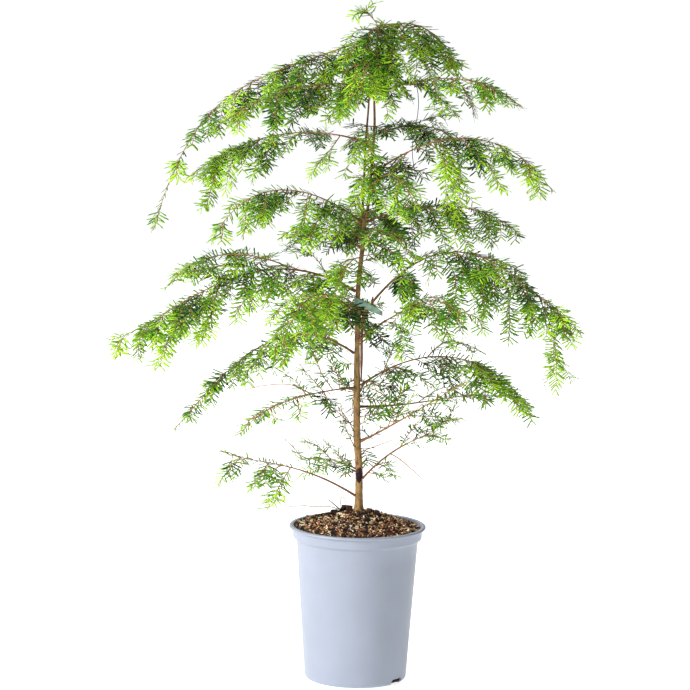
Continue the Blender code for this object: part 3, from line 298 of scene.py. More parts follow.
# Shoots that show one by one: stem or limb, height or share of the root on it, the points that the shoot
# runs on through as x, y and z in millimetres, brightness, and how full of needles it is (0 is bare)
SINGLE_SHOOTS = (
    ("right_1", 0.27, (31, 21, 808, 15, 18, 793), 0.75, 1),
    ("leader_right", 0.798, (30, -12, 787, 46, -21, 771, 57, -30, 750), 0.7, 1),
    ("leader_right", 0.803, (40, -3, 802, 60, -5, 792, 77, 3, 775), 0.55, 1),
    ("leader_right", 0.803, (-8, -9, 791, -22, -17, 777, -33, -15, 758), 0.65, 1),
    ("leader_right", 0.794, (26, -9, 775, 39, -13, 754, 45, -22, 730), 0.4, 1),
    ("leader_right", 0.783, (-6, -12, 767, -14, -25, 746, -18, -31, 725), 0.8, 1),
    ("leader_right", 0.776, (30, -20, 761, 40, -42, 739), 0.62, 1),
    ("leader_right", 0.769, (16, -15, 748, 25, -28, 725, 29, -48, 705), 0.75, 1),
    ("leader_right", 0.811, (25, -4, 816, 39, -9, 809), 0.6, 1),
    ("leader_right", 0.809, (-8, 3, 808, -24, 4, 795), 0.45, 1),
    ("top", 0.63, (-10, 3, 828, -17, 1, 825), 0.7, 1),
    ("top", 0.67, (7, 2, 839, 12, 6, 841), 0.7, 1),
    ("leader_left", 0.759, (-17, -2, 742, -32, -9, 718, -44, -24, 700), 0.85, 1),
    ("leader_left", 0.742, (13, -6, 723, 15, -21, 698, 10, -28, 677), 0.7, 1),
    ("left_1", 0.22, (-53, 5, 747, -60, -3, 725, -64, -7, 708), 0.8, 1),
    ("left_1", 0.34, (-84, 0, 738, -91, -3, 717), 0.7, 1),
    ("left_1", 0.14, (-38, 8, 761, -47, 15, 740), 0.55, 1),
    ("left_1", 0.43, (-113, 9, 731, -125, 5, 708), 0.75, 1),
    ("left_1", 0.26, (-70, 8, 775, -84, 7, 767), 0.5, 1),
    ("left_1", 0.1, (-29, 3, 786, -43, 3, 778), 0.5, 1),
    ("left_1", 0.56, (-148, 17, 716, -162, 12, 700), 0.7, 1),
    ("left_2", 0.26, (-56, -26, 719, -71, -29, 709), 0.7, 1),
    ("left_2", 0.11, (-24, -13, 716, -32, -24, 697), 0.8, 1),
    ("leader_left", 0.707, (-3, -3, 684, -13, -5, 654, -22, -9, 635), 0.8, 1),
    ("leader_left", 0.685, (10, -4, 662, 13, -15, 641, 11, -23, 622), 0.75, 1),
    ("leader_left", 0.629, (-3, -10, 608, -6, -14, 589), 0.8, 1),
    ("leader_right", 0.629, (28, -11, 614, 44, -23, 596, 53, -36, 578), 0.8, 1),
    ("leader_left", 0.613, (-13, -7, 596, -28, -13, 586), 0.7, 1),
    ("left_3", 0.14, (-41, 10, 660, -56, 11, 642, -62, 4, 631), 0.7, 1),
    ("left_3", 0.36, (-91, 26, 668, -100, 21, 656), 0.45, 1),
    ("left_3", 0.75, (-181, 63, 635, -190, 61, 600, -194, 49, 583), 0.55, 1),
    ("left_3", 0.58, (-141, 52, 656, -153, 46, 642), 0.45, 1),
    ("left_3", 0.66, (-166, 59, 650, -185, 56, 643), 0.5, 1),
    ("left_4", 0.41, (-91, -22, 603, -106, -19, 593), 0.5, 1),
    ("left_4", 0.24, (-51, -21, 582, -62, -24, 564, -67, -37, 542), 0.65, 1),
    ("left_4", 0.68, (-135, -49, 587, -146, -50, 559), 0.75, 1),
    ("left_4", 0.57, (-112, -42, 592, -120, -48, 572), 0.7, 1),
    ("left_4", 0.35, (-69, -27, 591, -76, -30, 570), 0.6, 1),
    ("trunk", 0.567, (-15, -5, 576, -31, -10, 578, -45, -6, 574), 0.45, 1),
    ("trunk", 0.552, (-19, -7, 561, -38, -10, 556, -54, -15, 544), 0.45, 1),
    ("trunk", 0.512, (-32, -10, 509, -55, -20, 493, -70, -30, 472), 0.85, 1),
    ("trunk", 0.496, (-24, -9, 482, -41, -19, 461, -50, -29, 437), 0.85, 1),
    ("left_8", 0.28, (-49, -47, 479, -68, -50, 456, -74, -60, 439), 0.8, 1),
    ("left_6", 0.15, (-75, -11, 504, -95, -18, 485), 0.7, 1),
    ("left_6", 0.23, (-97, -6, 518, -122, -9, 513, -145, -5, 504), 0.35, 1),
    ("left_6", 0.39, (-155, -5, 519, -186, -8, 514, -228, -18, 506), 0.45, 1),
    ("left_6", 0.52, (-192, -3, 505, -218, -2, 503), 0.5, 1),
    ("left_6", 0.68, (-228, -9, 448, -243, -9, 410, -252, -12, 392), 0.75, 1),
    ("left_6", 0.56, (-184, -8, 458, -193, -9, 439, -202, -13, 421), 0.75, 1),
    ("left_6", 0.42, (-143, -11, 477, -156, -24, 455), 0.7, 1),
    ("left_6", 0.31, (-109, -10, 488, -122, -19, 464), 0.6, 1),
    ("left_6", 0.62, (-208, -11, 450, -217, -19, 433), 0.7, 1),
    ("left_6", 0.8, (-260, -3, 436, -267, 1, 427), 0.7, 1),
    ("left_6", 0.12, (-57, -5, 528, -78, -8, 539, -96, -10, 543), 0.45, 1),
    ("left_9", 0.51, (-127, 21, 399, -139, 17, 382, -144, 12, 368), 0.6, 1),
    ("left_9", 0.41, (-104, 14, 407, -110, 11, 383), 0.6, 1),
    ("left_9", 0.3, (-86, 8, 425, -97, 3, 412), 0.5, 1),
    ("left_9", 0.71, (-177, 31, 370, -191, 19, 355), 0.6, 1),
    ("left_10", 0.21, (-48, -32, 390, -54, -34, 409, -56, -42, 422), 0.45, 1),
    ("left_10", 0.29, (-62, -47, 388, -74, -47, 402), 0.4, 1),
    ("left_10", 0.15, (-30, -28, 393, -42, -35, 411), 0.4, 1),
    ("left_10", 0.44, (-80, -67, 386, -95, -69, 393), 0.4, 1),
    ("left_10", 0.4, (-85, -55, 378, -117, -52, 376, -137, -50, 371, -154, -42, 366), 0.3, 0),
    ("trunk", 0.315, (-19, -4, 329, -38, -4, 346, -58, -14, 359), 0.35, 0.6),
    ("trunk", 0.284, (-18, -6, 320, -23, -8, 349), 0.35, 0.5),
    ("trunk", 0.302, (-14, 7, 325, -29, 9, 344), 0.3, 0),
    ("left_11", 0.5, (-96, -32, 250, -106, -37, 229, -113, -37, 218), 0.6, 1),
    ("left_11", 0.66, (-122, -43, 262, -134, -43, 243), 0.6, 1),
    ("left_11", 0.86, (-157, -50, 273, -172, -61, 254), 0.6, 1),
    ("left_12", 0.94, (-81, 84, 274, -94, 89, 285), 0.4, 0.4),
    ("left_11", 0.86, (-160, -46, 291, -175, -44, 293), 0.3, 0),
    ("left_12", 0.46, (-50, 41, 284, -68, 37, 293), 0.45, 1),
    ("left_12", 0.23, (-31, 20, 284, -41, 24, 291), 0.45, 1),
    ("left_12", 0.47, (-53, 41, 257, -68, 41, 252), 0.5, 1),
    ("right_2", 0.13, (60, -15, 744, 90, -18, 729, 114, -22, 707), 0.5, 1),
    ("right_1", 0.23, (61, 22, 786, 76, 14, 761, 90, 7, 738), 0.6, 1),
    ("right_1", 0.72, (101, 73, 773, 113, 70, 754), 0.65, 1),
    ("right_2", 0.64, (144, -42, 748, 161, -45, 736, 171, -39, 724), 0.6, 1),
    ("right_2", 0.23, (72, -20, 728, 92, -31, 717), 0.5, 1),
    ("right_3", 0.19, (61, 33, 692, 92, 42, 701, 114, 48, 701), 0.4, 1),
    ("right_4", 0.37, (107, -19, 655, 118, -28, 617, 115, -35, 585), 0.8, 1),
    ("right_4", 0.32, (98, -19, 654, 101, -28, 617, 109, -30, 599), 0.75, 1),
    ("right_4", 0.54, (147, -22, 657, 162, -22, 632, 171, -33, 616), 0.7, 1),
    ("right_4", 0.66, (167, -24, 656, 181, -29, 645), 0.7, 1),
    ("right_4", 0.21, (44, -10, 650, 33, -13, 636), 0.6, 1),
    ("leader_right", 0.64, (39, 0, 640, 64, -1, 638, 82, -7, 632), 0.35, 1),
    ("right_6", 0.1, (58, 8, 591, 95, 4, 587, 122, 5, 574), 0.45, 1),
    ("right_6", 0.52, (130, 38, 568, 146, 37, 548), 0.6, 1),
    ("right_6", 0.41, (96, 24, 563, 104, 24, 542), 0.5, 1),
    ("right_6", 0.73, (156, 48, 565, 159, 40, 541), 0.6, 1),
    ("right_6", 0.29, (66, 14, 571, 76, 15, 555), 0.4, 1),
    ("right_7", 0.16, (73, -10, 532, 96, -11, 539, 120, -19, 537), 0.4, 1),
    ("right_7", 0.47, (147, -21, 506, 153, -23, 482, 151, -23, 459), 0.5, 1),
    ("right_7", 0.61, (179, -26, 495, 182, -25, 458, 181, -26, 427), 0.5, 1),
    ("right_7", 0.69, (205, -26, 482, 211, -28, 461, 208, -40, 442), 0.55, 1),
    ("right_7", 0.34, (112, -15, 516, 116, -16, 493, 111, -28, 474), 0.45, 1),
    ("right_7", 0.39, (131, -20, 516, 143, -27, 492), 0.4, 1),
    ("right_7", 0.26, (85, -15, 521, 81, -21, 505), 0.45, 1),
    ("right_7", 0.8, (234, -31, 447, 240, -32, 410, 240, -43, 375), 0.65, 1),
    ("right_7", 0.77, (232, -28, 478, 253, -29, 462, 268, -31, 445), 0.65, 1),
    ("right_7", 0.53, (173, -16, 528, 202, -3, 510), 0.35, 1),
    ("trunk", 0.523, (15, -3, 529, 34, -15, 526), 0.4, 1),
    ("trunk", 0.551, (25, -7, 544, 42, -15, 531, 49, -22, 517), 0.5, 1),
    ("right_8", 0.69, (97, -101, 467, 112, -104, 437), 0.5, 1),
    ("right_8", 0.42, (72, -58, 486, 96, -59, 489, 122, -62, 484), 0.35, 1),
    ("right_8", 0.5, (76, -70, 471, 91, -74, 456), 0.4, 1),
    ("right_8", 0.95, (137, -136, 476, 147, -139, 461), 0.55, 1),
    ("trunk", 0.412, (27, -4, 420, 50, -10, 419, 73, -14, 412), 0.35, 1),
    ("right_9", 0.2, (63, 2, 387, 82, 0, 376, 94, -1, 368), 0.5, 1),
    ("right_9", 0.15, (45, 4, 424, 61, 8, 434), 0.4, 1),
    ("right_9", 0.63, (160, 16, 385, 186, 12, 359, 209, 8, 333), 0.55, 1),
    ("right_9", 0.53, (126, 11, 392, 136, 9, 372), 0.5, 1),
    ("right_9", 0.74, (172, 17, 370, 182, 15, 357), 0.55, 1),
    ("right_9", 0.4, (104, 15, 423, 128, 17, 421, 156, 23, 408), 0.4, 1),
    ("right_10", 0.21, (55, 32, 358, 72, 25, 368), 0.4, 0.6),
    ("right_10", 0.41, (100, 59, 357, 128, 59, 361), 0.4, 0.7),
    ("right_10", 0.76, (158, 113, 339, 156, 116, 324), 0.5, 1),
    ("right_10", 0.95, (195, 138, 337, 212, 141, 323, 220, 142, 307), 0.5, 1),
    ("right_11", 0.28, (46, -40, 355, 56, -44, 376), 0.45, 0.8),
    ("right_11", 0.32, (55, -45, 352, 66, -44, 365), 0.45, 0.8),
    ("trunk", 0.353, (24, -4, 352, 48, -5, 348), 0.4, 0.7),
    ("trunk", 0.329, (32, -3, 337, 63, -8, 336), 0.4, 0.7),
    ("right_11", 0.46, (81, -57, 342, 104, -61, 341, 120, -70, 340), 0.45, 1),
    ("right_12", 0.55, (81, -33, 324, 100, -41, 333, 126, -44, 338), 0.45, 1),
    ("right_12", 0.6, (88, -36, 315, 106, -48, 311), 0.5, 1),
    ("right_12", 0.42, (62, -31, 317, 74, -38, 334), 0.4, 0.8),
    ("right_12", 0.32, (51, -19, 281, 68, -27, 268, 87, -33, 250), 0.3, 0),
    ("right_12", 0.19, (36, -13, 268, 45, -25, 259), 0.5, 1),
    ("right_12", 0.15, (32, -11, 275, 46, -16, 277), 0.5, 1),
    ("right_12", 0.09, (25, -8, 259, 37, -10, 250), 0.5, 0.8),
    ("trunk", 0.3, (19, 0, 309, 31, 4, 321), 0.35, 0.4),
    ("trunk", 0.318, (16, -3, 332, 23, 3, 346), 0.35, 0.4),
    ("trunk", 0.337, (18, 0, 342, 40, 3, 339), 0.35, 0.4),
    ("trunk", 0.285, (21, -2, 294, 41, 3, 301), 0.3, 0),
    ("trunk", 0.351, (11, 3, 366, 15, -5, 382), 0.35, 0.6),
    ("trunk", 0.377, (15, -1, 387, 30, 1, 387), 0.4, 0.8),
    ("trunk", 0.36, (-19, 2, 370, -27, -3, 386), 0.4, 0.8),
    ("trunk", 0.386, (-19, -2, 399, -28, -3, 411), 0.4, 0.8),
    ("trunk", 0.263, (-16, 1, 273, -26, 3, 285), 0.4, 0.5),
)

# Mound: its mesh, the scale and depth of each relief, the smooth middle, and how far it lies below the
# height that the chips stand on
MOUND_SIDES = 120
MOUND_RINGS = 46
MOUND_RELIEF = ((260, 0.0011), (700, 0.0005))
MOUND_SMOOTH_SHARE = 0.08
MOUND_DROP = 0.0004

# Loose bark: colours of the ground and of the chips, how common each chip is, small and large lengths,
# the share of large ones, the free ring at the trunk and at the rim, heights, and what clods are made of
# The ground's near-black end is painted shade in the gaps between chips, laid over the dark brown of the
# mix itself
GROUND_AND_GAP_SHADE_COLOURS = ((0.006, 0.003, 0.002), (0.035, 0.016, 0.009), (0.10, 0.05, 0.025))
CHIP_COLOURS = (
    (0.018, 0.008, 0.005), (0.070, 0.026, 0.012), (0.210, 0.085, 0.034), (0.430, 0.200, 0.080),
    (0.780, 0.500, 0.250), (0.920, 0.760, 0.520), (0.400, 0.100, 0.055), (0.006, 0.005, 0.004),
)
CHIP_WEIGHTS = (20, 14, 12, 15, 16, 13, 6, 18)
CHIP_SHORT = (0.0020, 0.0048)
CHIP_LONG = (0.0045, 0.0085)
LONG_SHARE = 0.14
CHIP_FREE_RADIUS = 0.009
CHIP_RIM_ROOM = 0.0005
CHIP_HEIGHTS = (-0.0003, 0.0016)
CLOD_CHIPS = 3
CLOD_FINISHES = (0, 1, 7)

# Dry twigs on the mix: radius at the root, finish (0 pale, 1 dark) and line
DRY_TWIGS = (
    (
        0.00060,
        0,
        (
            (-0.0215, -0.001, 0.2125), (-0.0358, -0.002, 0.2169), (-0.0576, -0.002, 0.2166),
            (-0.0669, -0.002, 0.2177), (-0.0855, -0.002, 0.2161), (-0.0918, -0.002, 0.2211),
        ),
    ),
    (
        0.00085,
        1,
        (
            (-0.0225, 0.004, 0.2125), (-0.0271, 0.004, 0.2165), (-0.0322, 0.004, 0.2209),
            (-0.0366, 0.004, 0.2249),
        ),
    ),
    (
        0.00045,
        1,
        (
            (-0.0209, 0.004, 0.2139), (-0.0217, 0.004, 0.2242), (-0.0199, 0.004, 0.2280),
            (-0.0161, 0.004, 0.2256), (-0.0148, 0.004, 0.2160),
        ),
    ),
    (0.00080, 0, ((0.052, -0.047, 0.1985), (0.060, -0.045, 0.1995), (0.067, -0.042, 0.1982))),
)

# Dark clods on the mix: place of the middle, and size
CLODS = (
    (-0.0116, 0.0040, 0.2150, 0.0100),
    (-0.0185, 0.0020, 0.2128, 0.0090),
    (-0.0270, 0.0010, 0.2098, 0.0090),
    (-0.0360, 0.0000, 0.2068, 0.0080),
    (-0.0120, -0.0110, 0.2118, 0.0080),
    (0.0150, -0.0020, 0.2126, 0.0080),
    (0.0240, -0.0030, 0.2096, 0.0075),
    (0.0103, -0.0320, 0.2068, 0.0085),
    (0.0040, -0.0200, 0.2098, 0.0070),
)

# Colours of the small pieces, from dark to light
TAPE_COLOURS = ((0.15, 0.25, 0.19), (0.24, 0.37, 0.29), (0.33, 0.47, 0.38))
WOUND_COLOURS = ((0.006, 0.002, 0.004), (0.030, 0.008, 0.014), (0.080, 0.024, 0.032))
THREAD_COLOURS = ((0.010, 0.009, 0.010), (0.035, 0.03, 0.035))
PALE_TWIG_COLOURS = ((0.35, 0.18, 0.08), (0.62, 0.38, 0.20))
DARK_TWIG_COLOURS = ((0.020, 0.010, 0.007), (0.075, 0.035, 0.022))

# Places without needles, as boxes of a low and a high corner: the thread, and the space before the two
# leaders and before the lower trunk
OPEN_PLACES = (
    (
        (THREAD_BOX[0][0] - 0.003, -0.2, THREAD_BOX[0][2]),
        (THREAD_BOX[1][0] + 0.003, THREAD_BOX[1][1] + 0.003, THREAD_BOX[1][2] - 0.003),
    ),
    ((-0.003, -0.2, 0.694), (0.019, 0.001, 0.724)),
    ((-0.012, -0.2, 0.360), (0.005, 0.0, 0.446)),
)

# Studio: floor, world, and the lights' names, places, sizes and shares of the main light's power
FLOOR_RADIUS = 30.0
FLOOR_SIDES = 96
FLOOR_COLOURS = ((0.88, 0.88, 0.885), (0.90, 0.90, 0.905))
FLOOR_GLOW = 0.76
WORLD_COLOUR = (0.96, 0.98, 1.0, 1)
WORLD_STRENGTH = 0.30
LIGHTS = (
    ("key light", (-3.0, -1.9, 1.9), 1.8, 1.0),
    ("fill light", (2.8, -2.0, 1.6), 2.6, 0.06),
    ("back light", (-0.6, 3.0, 2.4), 2.4, 0.18),
)
LIGHT_AIM = (0, 0, 0.42)

# Camera of the photograph: place, pitch and roll in degrees, focal length and sensor width in millimetres
CAMERA_PLACE = (-0.0191, -4.41, 1.082)
CAMERA_PITCH = 8.54
CAMERA_ROLL = 0.90
CAMERA_LENS = 188.5
SENSOR_WIDTH = 36.0
CLIP_END = 100.0


# Materials, all procedural

RAMP_ENDS = (0.30, 0.70)
BUMP_DISTANCE = 0.0006


def shader_of(material):
    return material.node_tree.nodes["Principled BSDF"]


def speckled(name, colours, scale, roughness, stretch=(1, 1, 1), bump=0.0, specular=0.5):
    """A finish that wanders between several colours with noise, in object space."""
    material = bpy.data.materials.new(name)
    material.use_nodes = True
    nodes, links = material.node_tree.nodes, material.node_tree.links
    shader = shader_of(material)
    place = nodes.new("ShaderNodeTexCoord")
    mapping = nodes.new("ShaderNodeMapping")
    mapping.inputs["Scale"].default_value = stretch
    grain = nodes.new("ShaderNodeTexNoise")
    grain.inputs["Scale"].default_value = scale
    grain.inputs["Detail"].default_value = 6
    ramp = nodes.new("ShaderNodeValToRGB")
    low, high = RAMP_ENDS
    ramp.color_ramp.elements[0].position = low
    ramp.color_ramp.elements[1].position = high
    ramp.color_ramp.elements[0].color = (*colours[0], 1)
    ramp.color_ramp.elements[1].color = (*colours[-1], 1)
    for k, colour in enumerate(colours[1:-1]):
        stop = ramp.color_ramp.elements.new(low + (high - low) * (k + 1) / (len(colours) - 1))
        stop.color = (*colour, 1)
    links.new(place.outputs["Object"], mapping.inputs["Vector"])
    links.new(mapping.outputs["Vector"], grain.inputs["Vector"])
    links.new(grain.outputs["Fac"], ramp.inputs["Fac"])
    links.new(ramp.outputs["Color"], shader.inputs["Base Color"])
    shader.inputs["Roughness"].default_value = roughness
    shader.inputs["Specular IOR Level"].default_value = specular
    if bump:
        relief = nodes.new("ShaderNodeBump")
        relief.inputs["Strength"].default_value = bump
        relief.inputs["Distance"].default_value = BUMP_DISTANCE
        links.new(grain.outputs["Fac"], relief.inputs["Height"])
        links.new(relief.outputs["Normal"], shader.inputs["Normal"])
    return material


def tinted(colour, factor):
    return tuple(channel * factor for channel in colour)


def mixed(a, b, share):
    return tuple(x + (y - x) * share for x, y in zip(a, b))


# Curves and stems, by the rule of the part's own source

def heading(azimuth):
    turn = math.radians(azimuth)
    return Vector((math.cos(turn), math.sin(turn), 0))


def along(line, share):
    """A point on a smooth curve through the points of a line, at a share of its points."""
    place = max(0.0, min(1.0, share)) * (len(line) - 1)
    i = min(int(place), len(line) - 2)
    t = place - i
    before = Vector(line[max(i - 1, 0)])
    a, b = Vector(line[i]), Vector(line[i + 1])
    after = Vector(line[min(i + 2, len(line) - 1)])
    return 0.5 * (
        2 * a
        + (b - before) * t
        + (2 * before - 5 * a + 4 * b - after) * t * t
        + (3 * a - before - 3 * b + after) * t * t * t
    )


def share_at_height(line, height):
    low, high = 0.0, 1.0
    for _ in range(30):
        middle = (low + high) / 2
        if along(line, middle).z < height:
            low = middle
        else:
            high = middle
    return (low + high) / 2


def trunk_radius(height):
    place = share_at_height(TRUNK_LINE, height) * (len(TRUNK_RADII) - 1)
    i = min(int(place), len(TRUNK_RADII) - 2)
    plain = TRUNK_RADII[i] + (TRUNK_RADII[i + 1] - TRUNK_RADII[i]) * (place - i)
    above_foot = height - TRUNK_LINE[0][2]
    return plain + ROOT_FLARE * math.exp(-above_foot / FLARE_HEIGHT)


def leader_radius(name, height):
    line = LEADER_LINES[name]
    share = (height - line[0][2]) / (line[-1][2] - line[0][2])
    foot = LEADER_FOOT_RADIUS[name]
    return foot + (LEADER_TIP_RADIUS - foot) * max(0.0, min(1.0, share))


def parent_axis(parent, height):
    """The centre and the radius of the trunk or a leader at a height."""
    if parent == "trunk":
        return along(TRUNK_LINE, share_at_height(TRUNK_LINE, height)), trunk_radius(height)
    line = LEADER_LINES[parent]
    return along(line, share_at_height(line, height)), leader_radius(parent, height)


def bough_radius(limb, share):
    root = BOUGH_ROOT_RADIUS + BOUGH_RADIUS_PER_REACH * limb.reach
    return root + (BOUGH_TIP_RADIUS - root) * min(1.0, share / max(limb.wood, 0.05))


def limb_named(name):
    return next(limb for limb in LIMBS if limb.name == name)


def limb_origin(limb):
    if limb.parent in STEMS:
        centre, _ = parent_axis(limb.parent, limb.height)
        centre = Vector((centre.x, centre.y, limb.height))
        if limb.name == TIED_BOUGH:
            centre = centre + heading(limb.azimuth) * TIED_START
        return centre
    bough = limb_named(limb.parent)
    above = bough_radius(bough, UPPER_SHOOT_ROOT) + RIB_HALF_WIDTH + CLEAR
    return limb_point(bough, UPPER_SHOOT_ROOT) + UP * above


ORIGINS = {}


def limb_point(limb, share):
    if limb.name not in ORIGINS:
        ORIGINS[limb.name] = limb_origin(limb)
    rise = limb.climb * share - limb.sag * share**2 - limb.hook * share**6
    return ORIGINS[limb.name] + heading(limb.azimuth) * limb.reach * share + UP * rise


def limb_direction(limb, share):
    step = 0.01
    return (limb_point(limb, share + step) - limb_point(limb, share - step)).normalized()


def stem_start(limb):
    """The share of the reach at which the needles' own stem starts."""
    if limb.parent.startswith("left") or limb.name == "top":
        return 0.0
    if limb.wood:
        return limb.wood + CLEAR / limb.reach
    return (parent_axis(limb.parent, limb.height)[1] + CLEAR * 2) / limb.reach


def tied_foot_points():
    limb = limb_named(TIED_BOUGH)
    out = heading(limb.azimuth)
    points, radii = [], []
    steps = 30
    for k in range(steps + 1):
        z = TIED_FOOT_HEIGHT + (limb.height - TIED_TOP_ROOM - TIED_FOOT_HEIGHT) * k / steps
        centre, trunk = parent_axis("trunk", z)
        swell = min(1.0, (z - TIED_FOOT_HEIGHT) / TIED_SWELL)
        radius = TIED_TIP_RADIUS + (bough_radius(limb, 0) - TIED_TIP_RADIUS) * swell
        lean = max(0.0, (z - TIED_LEAN_FROM) / (limb.height - TIED_LEAN_FROM))
        beside = trunk + radius + CLEAR * 1.7
        points.append(centre + out * (beside + (TIED_START - beside) * lean**1.5 * 0.92))
        radii.append(radius)
    return points, radii


def side_shoots(limb, start, number):
    """The seeded rule for a mass's side shoots: root, direction, length, droop and roll of each."""
    dice = random.Random(SEED * 100 + number)
    length = limb.reach * (1 - start)
    count = max(1, round(length * (1 - SHOOT_START) / SHOOT_SPACING))
    shoots = []
    sign = 1 if number % 2 else -1
    for k in range(count):
        place = SHOOT_START + (0.94 - SHOOT_START) * (k + dice.uniform(0.15, 0.85)) / count
        share = start + (1 - start) * place
        turn = math.radians(SHOOT_ANGLE + dice.uniform(-14, 14))
        lift = dice.uniform(-0.15, 0.35)
        shape = 0.9 + 0.5 * place if place < 0.4 else 1.1 - 0.85 * (place - 0.4) / 0.6
        size = limb.spread * shape * dice.uniform(0.75, 1.15)
        droop = limb.droop * dice.uniform(0.6, 1.2)
        roll = dice.uniform(-60, 60)
        shoots.append((share, sign, turn, lift, size, droop, roll, place))
        sign = -sign
    return shoots


def shoot_line(root, direction, length, droop, steps):
    line = [root]
    for k in range(1, steps + 1):
        t = k / steps
        out = direction * length * t * (1 - 0.3 * droop * t)
        line.append(root + out - UP * droop * length * 0.85 * t**1.7)
    return line


def leaving(ahead, sign, turn, lift):
    """The direction of a shoot that leaves a stem sideways."""
    level = ahead.cross(UP)
    level = level.normalized() if level.length > 0.1 else Vector((0, 1, 0))
    return (ahead * math.cos(turn) + level * sign * math.sin(turn) + UP * lift).normalized()


# A twig: line, radii at both ends, share at the root that is bare, brightness, roll in degrees, and how
# full of needles it is
Twig = namedtuple("Twig", "line root_radius tip_radius bare bright roll fullness")


def twigs_of_limb(limb, number, settings):
    """Every twig of one mass: the stem, the seeded side shoots and finer twigs on each of them."""
    dice = random.Random(SEED * 1000 + number)
    start = stem_start(limb)
    steps = max(8, round(limb.reach * (1 - start) / STEM_STEP))
    line = [limb_point(limb, start + (1 - start) * k / steps) for k in range(steps + 1)]
    sparse = limb.name in SPARSE_LIMBS
    base = BOUGH_TIP_RADIUS * (1.05 if limb.reach > 0.15 else 0.85)
    bare = 0.10 if limb.wood else 0.16
    twigs = [Twig(line, base, STEM_TIP_RADIUS, bare, 0.35, dice.uniform(-25, 25), 0.75)]
    own = side_shoots(limb, start, number)
    shoots = [shoot for shoot in own if shoot[4] >= SHOOT_LEAST]
    extra = round(len(own) * settings.extra_shoots * (SPARSE_SHOOTS if sparse else 1.0))
    for k in range(extra):
        share = start + (1 - start) * (0.05 + 0.93 * (k + dice.random()) / extra)
        place = (share - start) / (1 - start)
        shape = 0.8 + 0.4 * place if place < 0.4 else 1.0 - 0.80 * (place - 0.4) / 0.6
        size = limb.spread * shape * dice.uniform(0.55, 1.30)
        turn = math.radians(SHOOT_ANGLE + dice.uniform(-22, 14))
        droop = limb.droop * dice.uniform(0.6, 1.7)
        sign = dice.choice((-1, 1))
        lift, roll = dice.uniform(-0.3, 0.4), dice.uniform(-60, 60)
        shoots.append((share, sign, turn, lift, size, droop, roll, place))
    if limb.wood and not sparse:
        for _ in range(round(limb.reach * limb.wood / BOUGH_SHOOT_SPACING)):
            share = limb.wood * (0.30 + 0.70 * dice.random())
            turn = math.radians(SHOOT_ANGLE + dice.uniform(-20, 20))
            size = limb.spread * dice.uniform(0.45, 0.95)
            droop = limb.droop * dice.uniform(0.8, 1.4)
            sign = dice.choice((-1, 1))
            lift, roll = dice.uniform(-0.2, 0.5), dice.uniform(-60, 60)
            shoots.append((share, sign, turn, lift, size, droop, roll, 0.1))
    # Painted shade: darker greens for the low sparse limbs and for the limbs on the right
    shade = SPARSE_PAINTED_SHADE if sparse else RIGHT_PAINTED_SHADE if limb.name.startswith("right") else 0.0
    for share, sign, turn, lift, size, droop, roll, place in shoots:
        root = limb_point(limb, share)
        direction = leaving(limb_direction(limb, share), sign, turn, lift)
        shoot = shoot_line(root, direction, size, droop, max(5, round(size / SHOOT_STEP)))
        bright = SHOOT_BRIGHT + shade + BRIGHT_OUTWARDS * place + dice.uniform(-0.34, 0.36)
        bare = dice.uniform(0.15, 0.55) if sparse else dice.uniform(0.05, 0.2)
        full = SPARSE_NEEDLES if sparse else 1.0
        twigs.append(Twig(shoot, *SHOOT_RADII, bare, bright, roll * 0.6, full))
        twigs += fine_twigs(shoot, size, bright, sparse, droop, dice)
    return twigs


def core_twigs():
    """Short shoots that stand round the leaders and the upper trunk and fill the crown's middle."""
    dice = random.Random(SEED * 7)
    found = []
    for stem, low, high, count, size_low, size_high in CORE_SHOOTS:
        for k in range(count):
            height = low + (high - low) * (k + dice.random()) / count
            centre, radius = parent_axis(stem, height)
            out = heading(dice.uniform(0, 360))
            direction = (out + UP * dice.uniform(0.0, 0.8)).normalized()
            size = dice.uniform(size_low, size_high)
            droop = dice.uniform(0.3, 1.3)
            root = centre + out * radius * 0.8
            shoot = shoot_line(root, direction, size, droop, max(5, round(size / SHOOT_STEP)))
            bright = CORE_BRIGHT + dice.uniform(-0.3, 0.35)
            found.append(Twig(shoot, *SHOOT_RADII, 0.12, bright, dice.uniform(-40, 40), 1.0))
            found += fine_twigs(shoot, size, bright, False, droop, dice)
    return found


def single_twigs():
    """The shoots that show one by one, with their finer twigs, left and right of the trunk."""
    dice = random.Random(SEED * 9)
    halves = {"single_left": [], "single_right": []}
    for stem, place, numbers, bright, fullness in SINGLE_SHOOTS:
        metres = [number / 1000 for number in numbers]
        points = [tuple(metres[i:i + 3]) for i in range(0, len(metres), 3)]
        if stem in STEMS:
            root, _ = parent_axis(stem, place)
        else:
            root = limb_point(limb_named(stem), place)
        line = (tuple(root), *points)
        length = sum((Vector(b) - Vector(a)).length for a, b in zip(line, line[1:]))
        steps = max(5, round(length / SINGLE_STEP))
        shoot = [along(line, k / steps) for k in range(steps + 1)]
        found = halves["single_left" if points[-1][0] < 0 else "single_right"]
        found.append(Twig(shoot, *SINGLE_RADII, 0.08, bright, dice.uniform(-35, 35), fullness))
        if fullness:
            found += fine_twigs(shoot, length, bright, fullness < 1, SINGLE_DROOP, dice)
    return halves


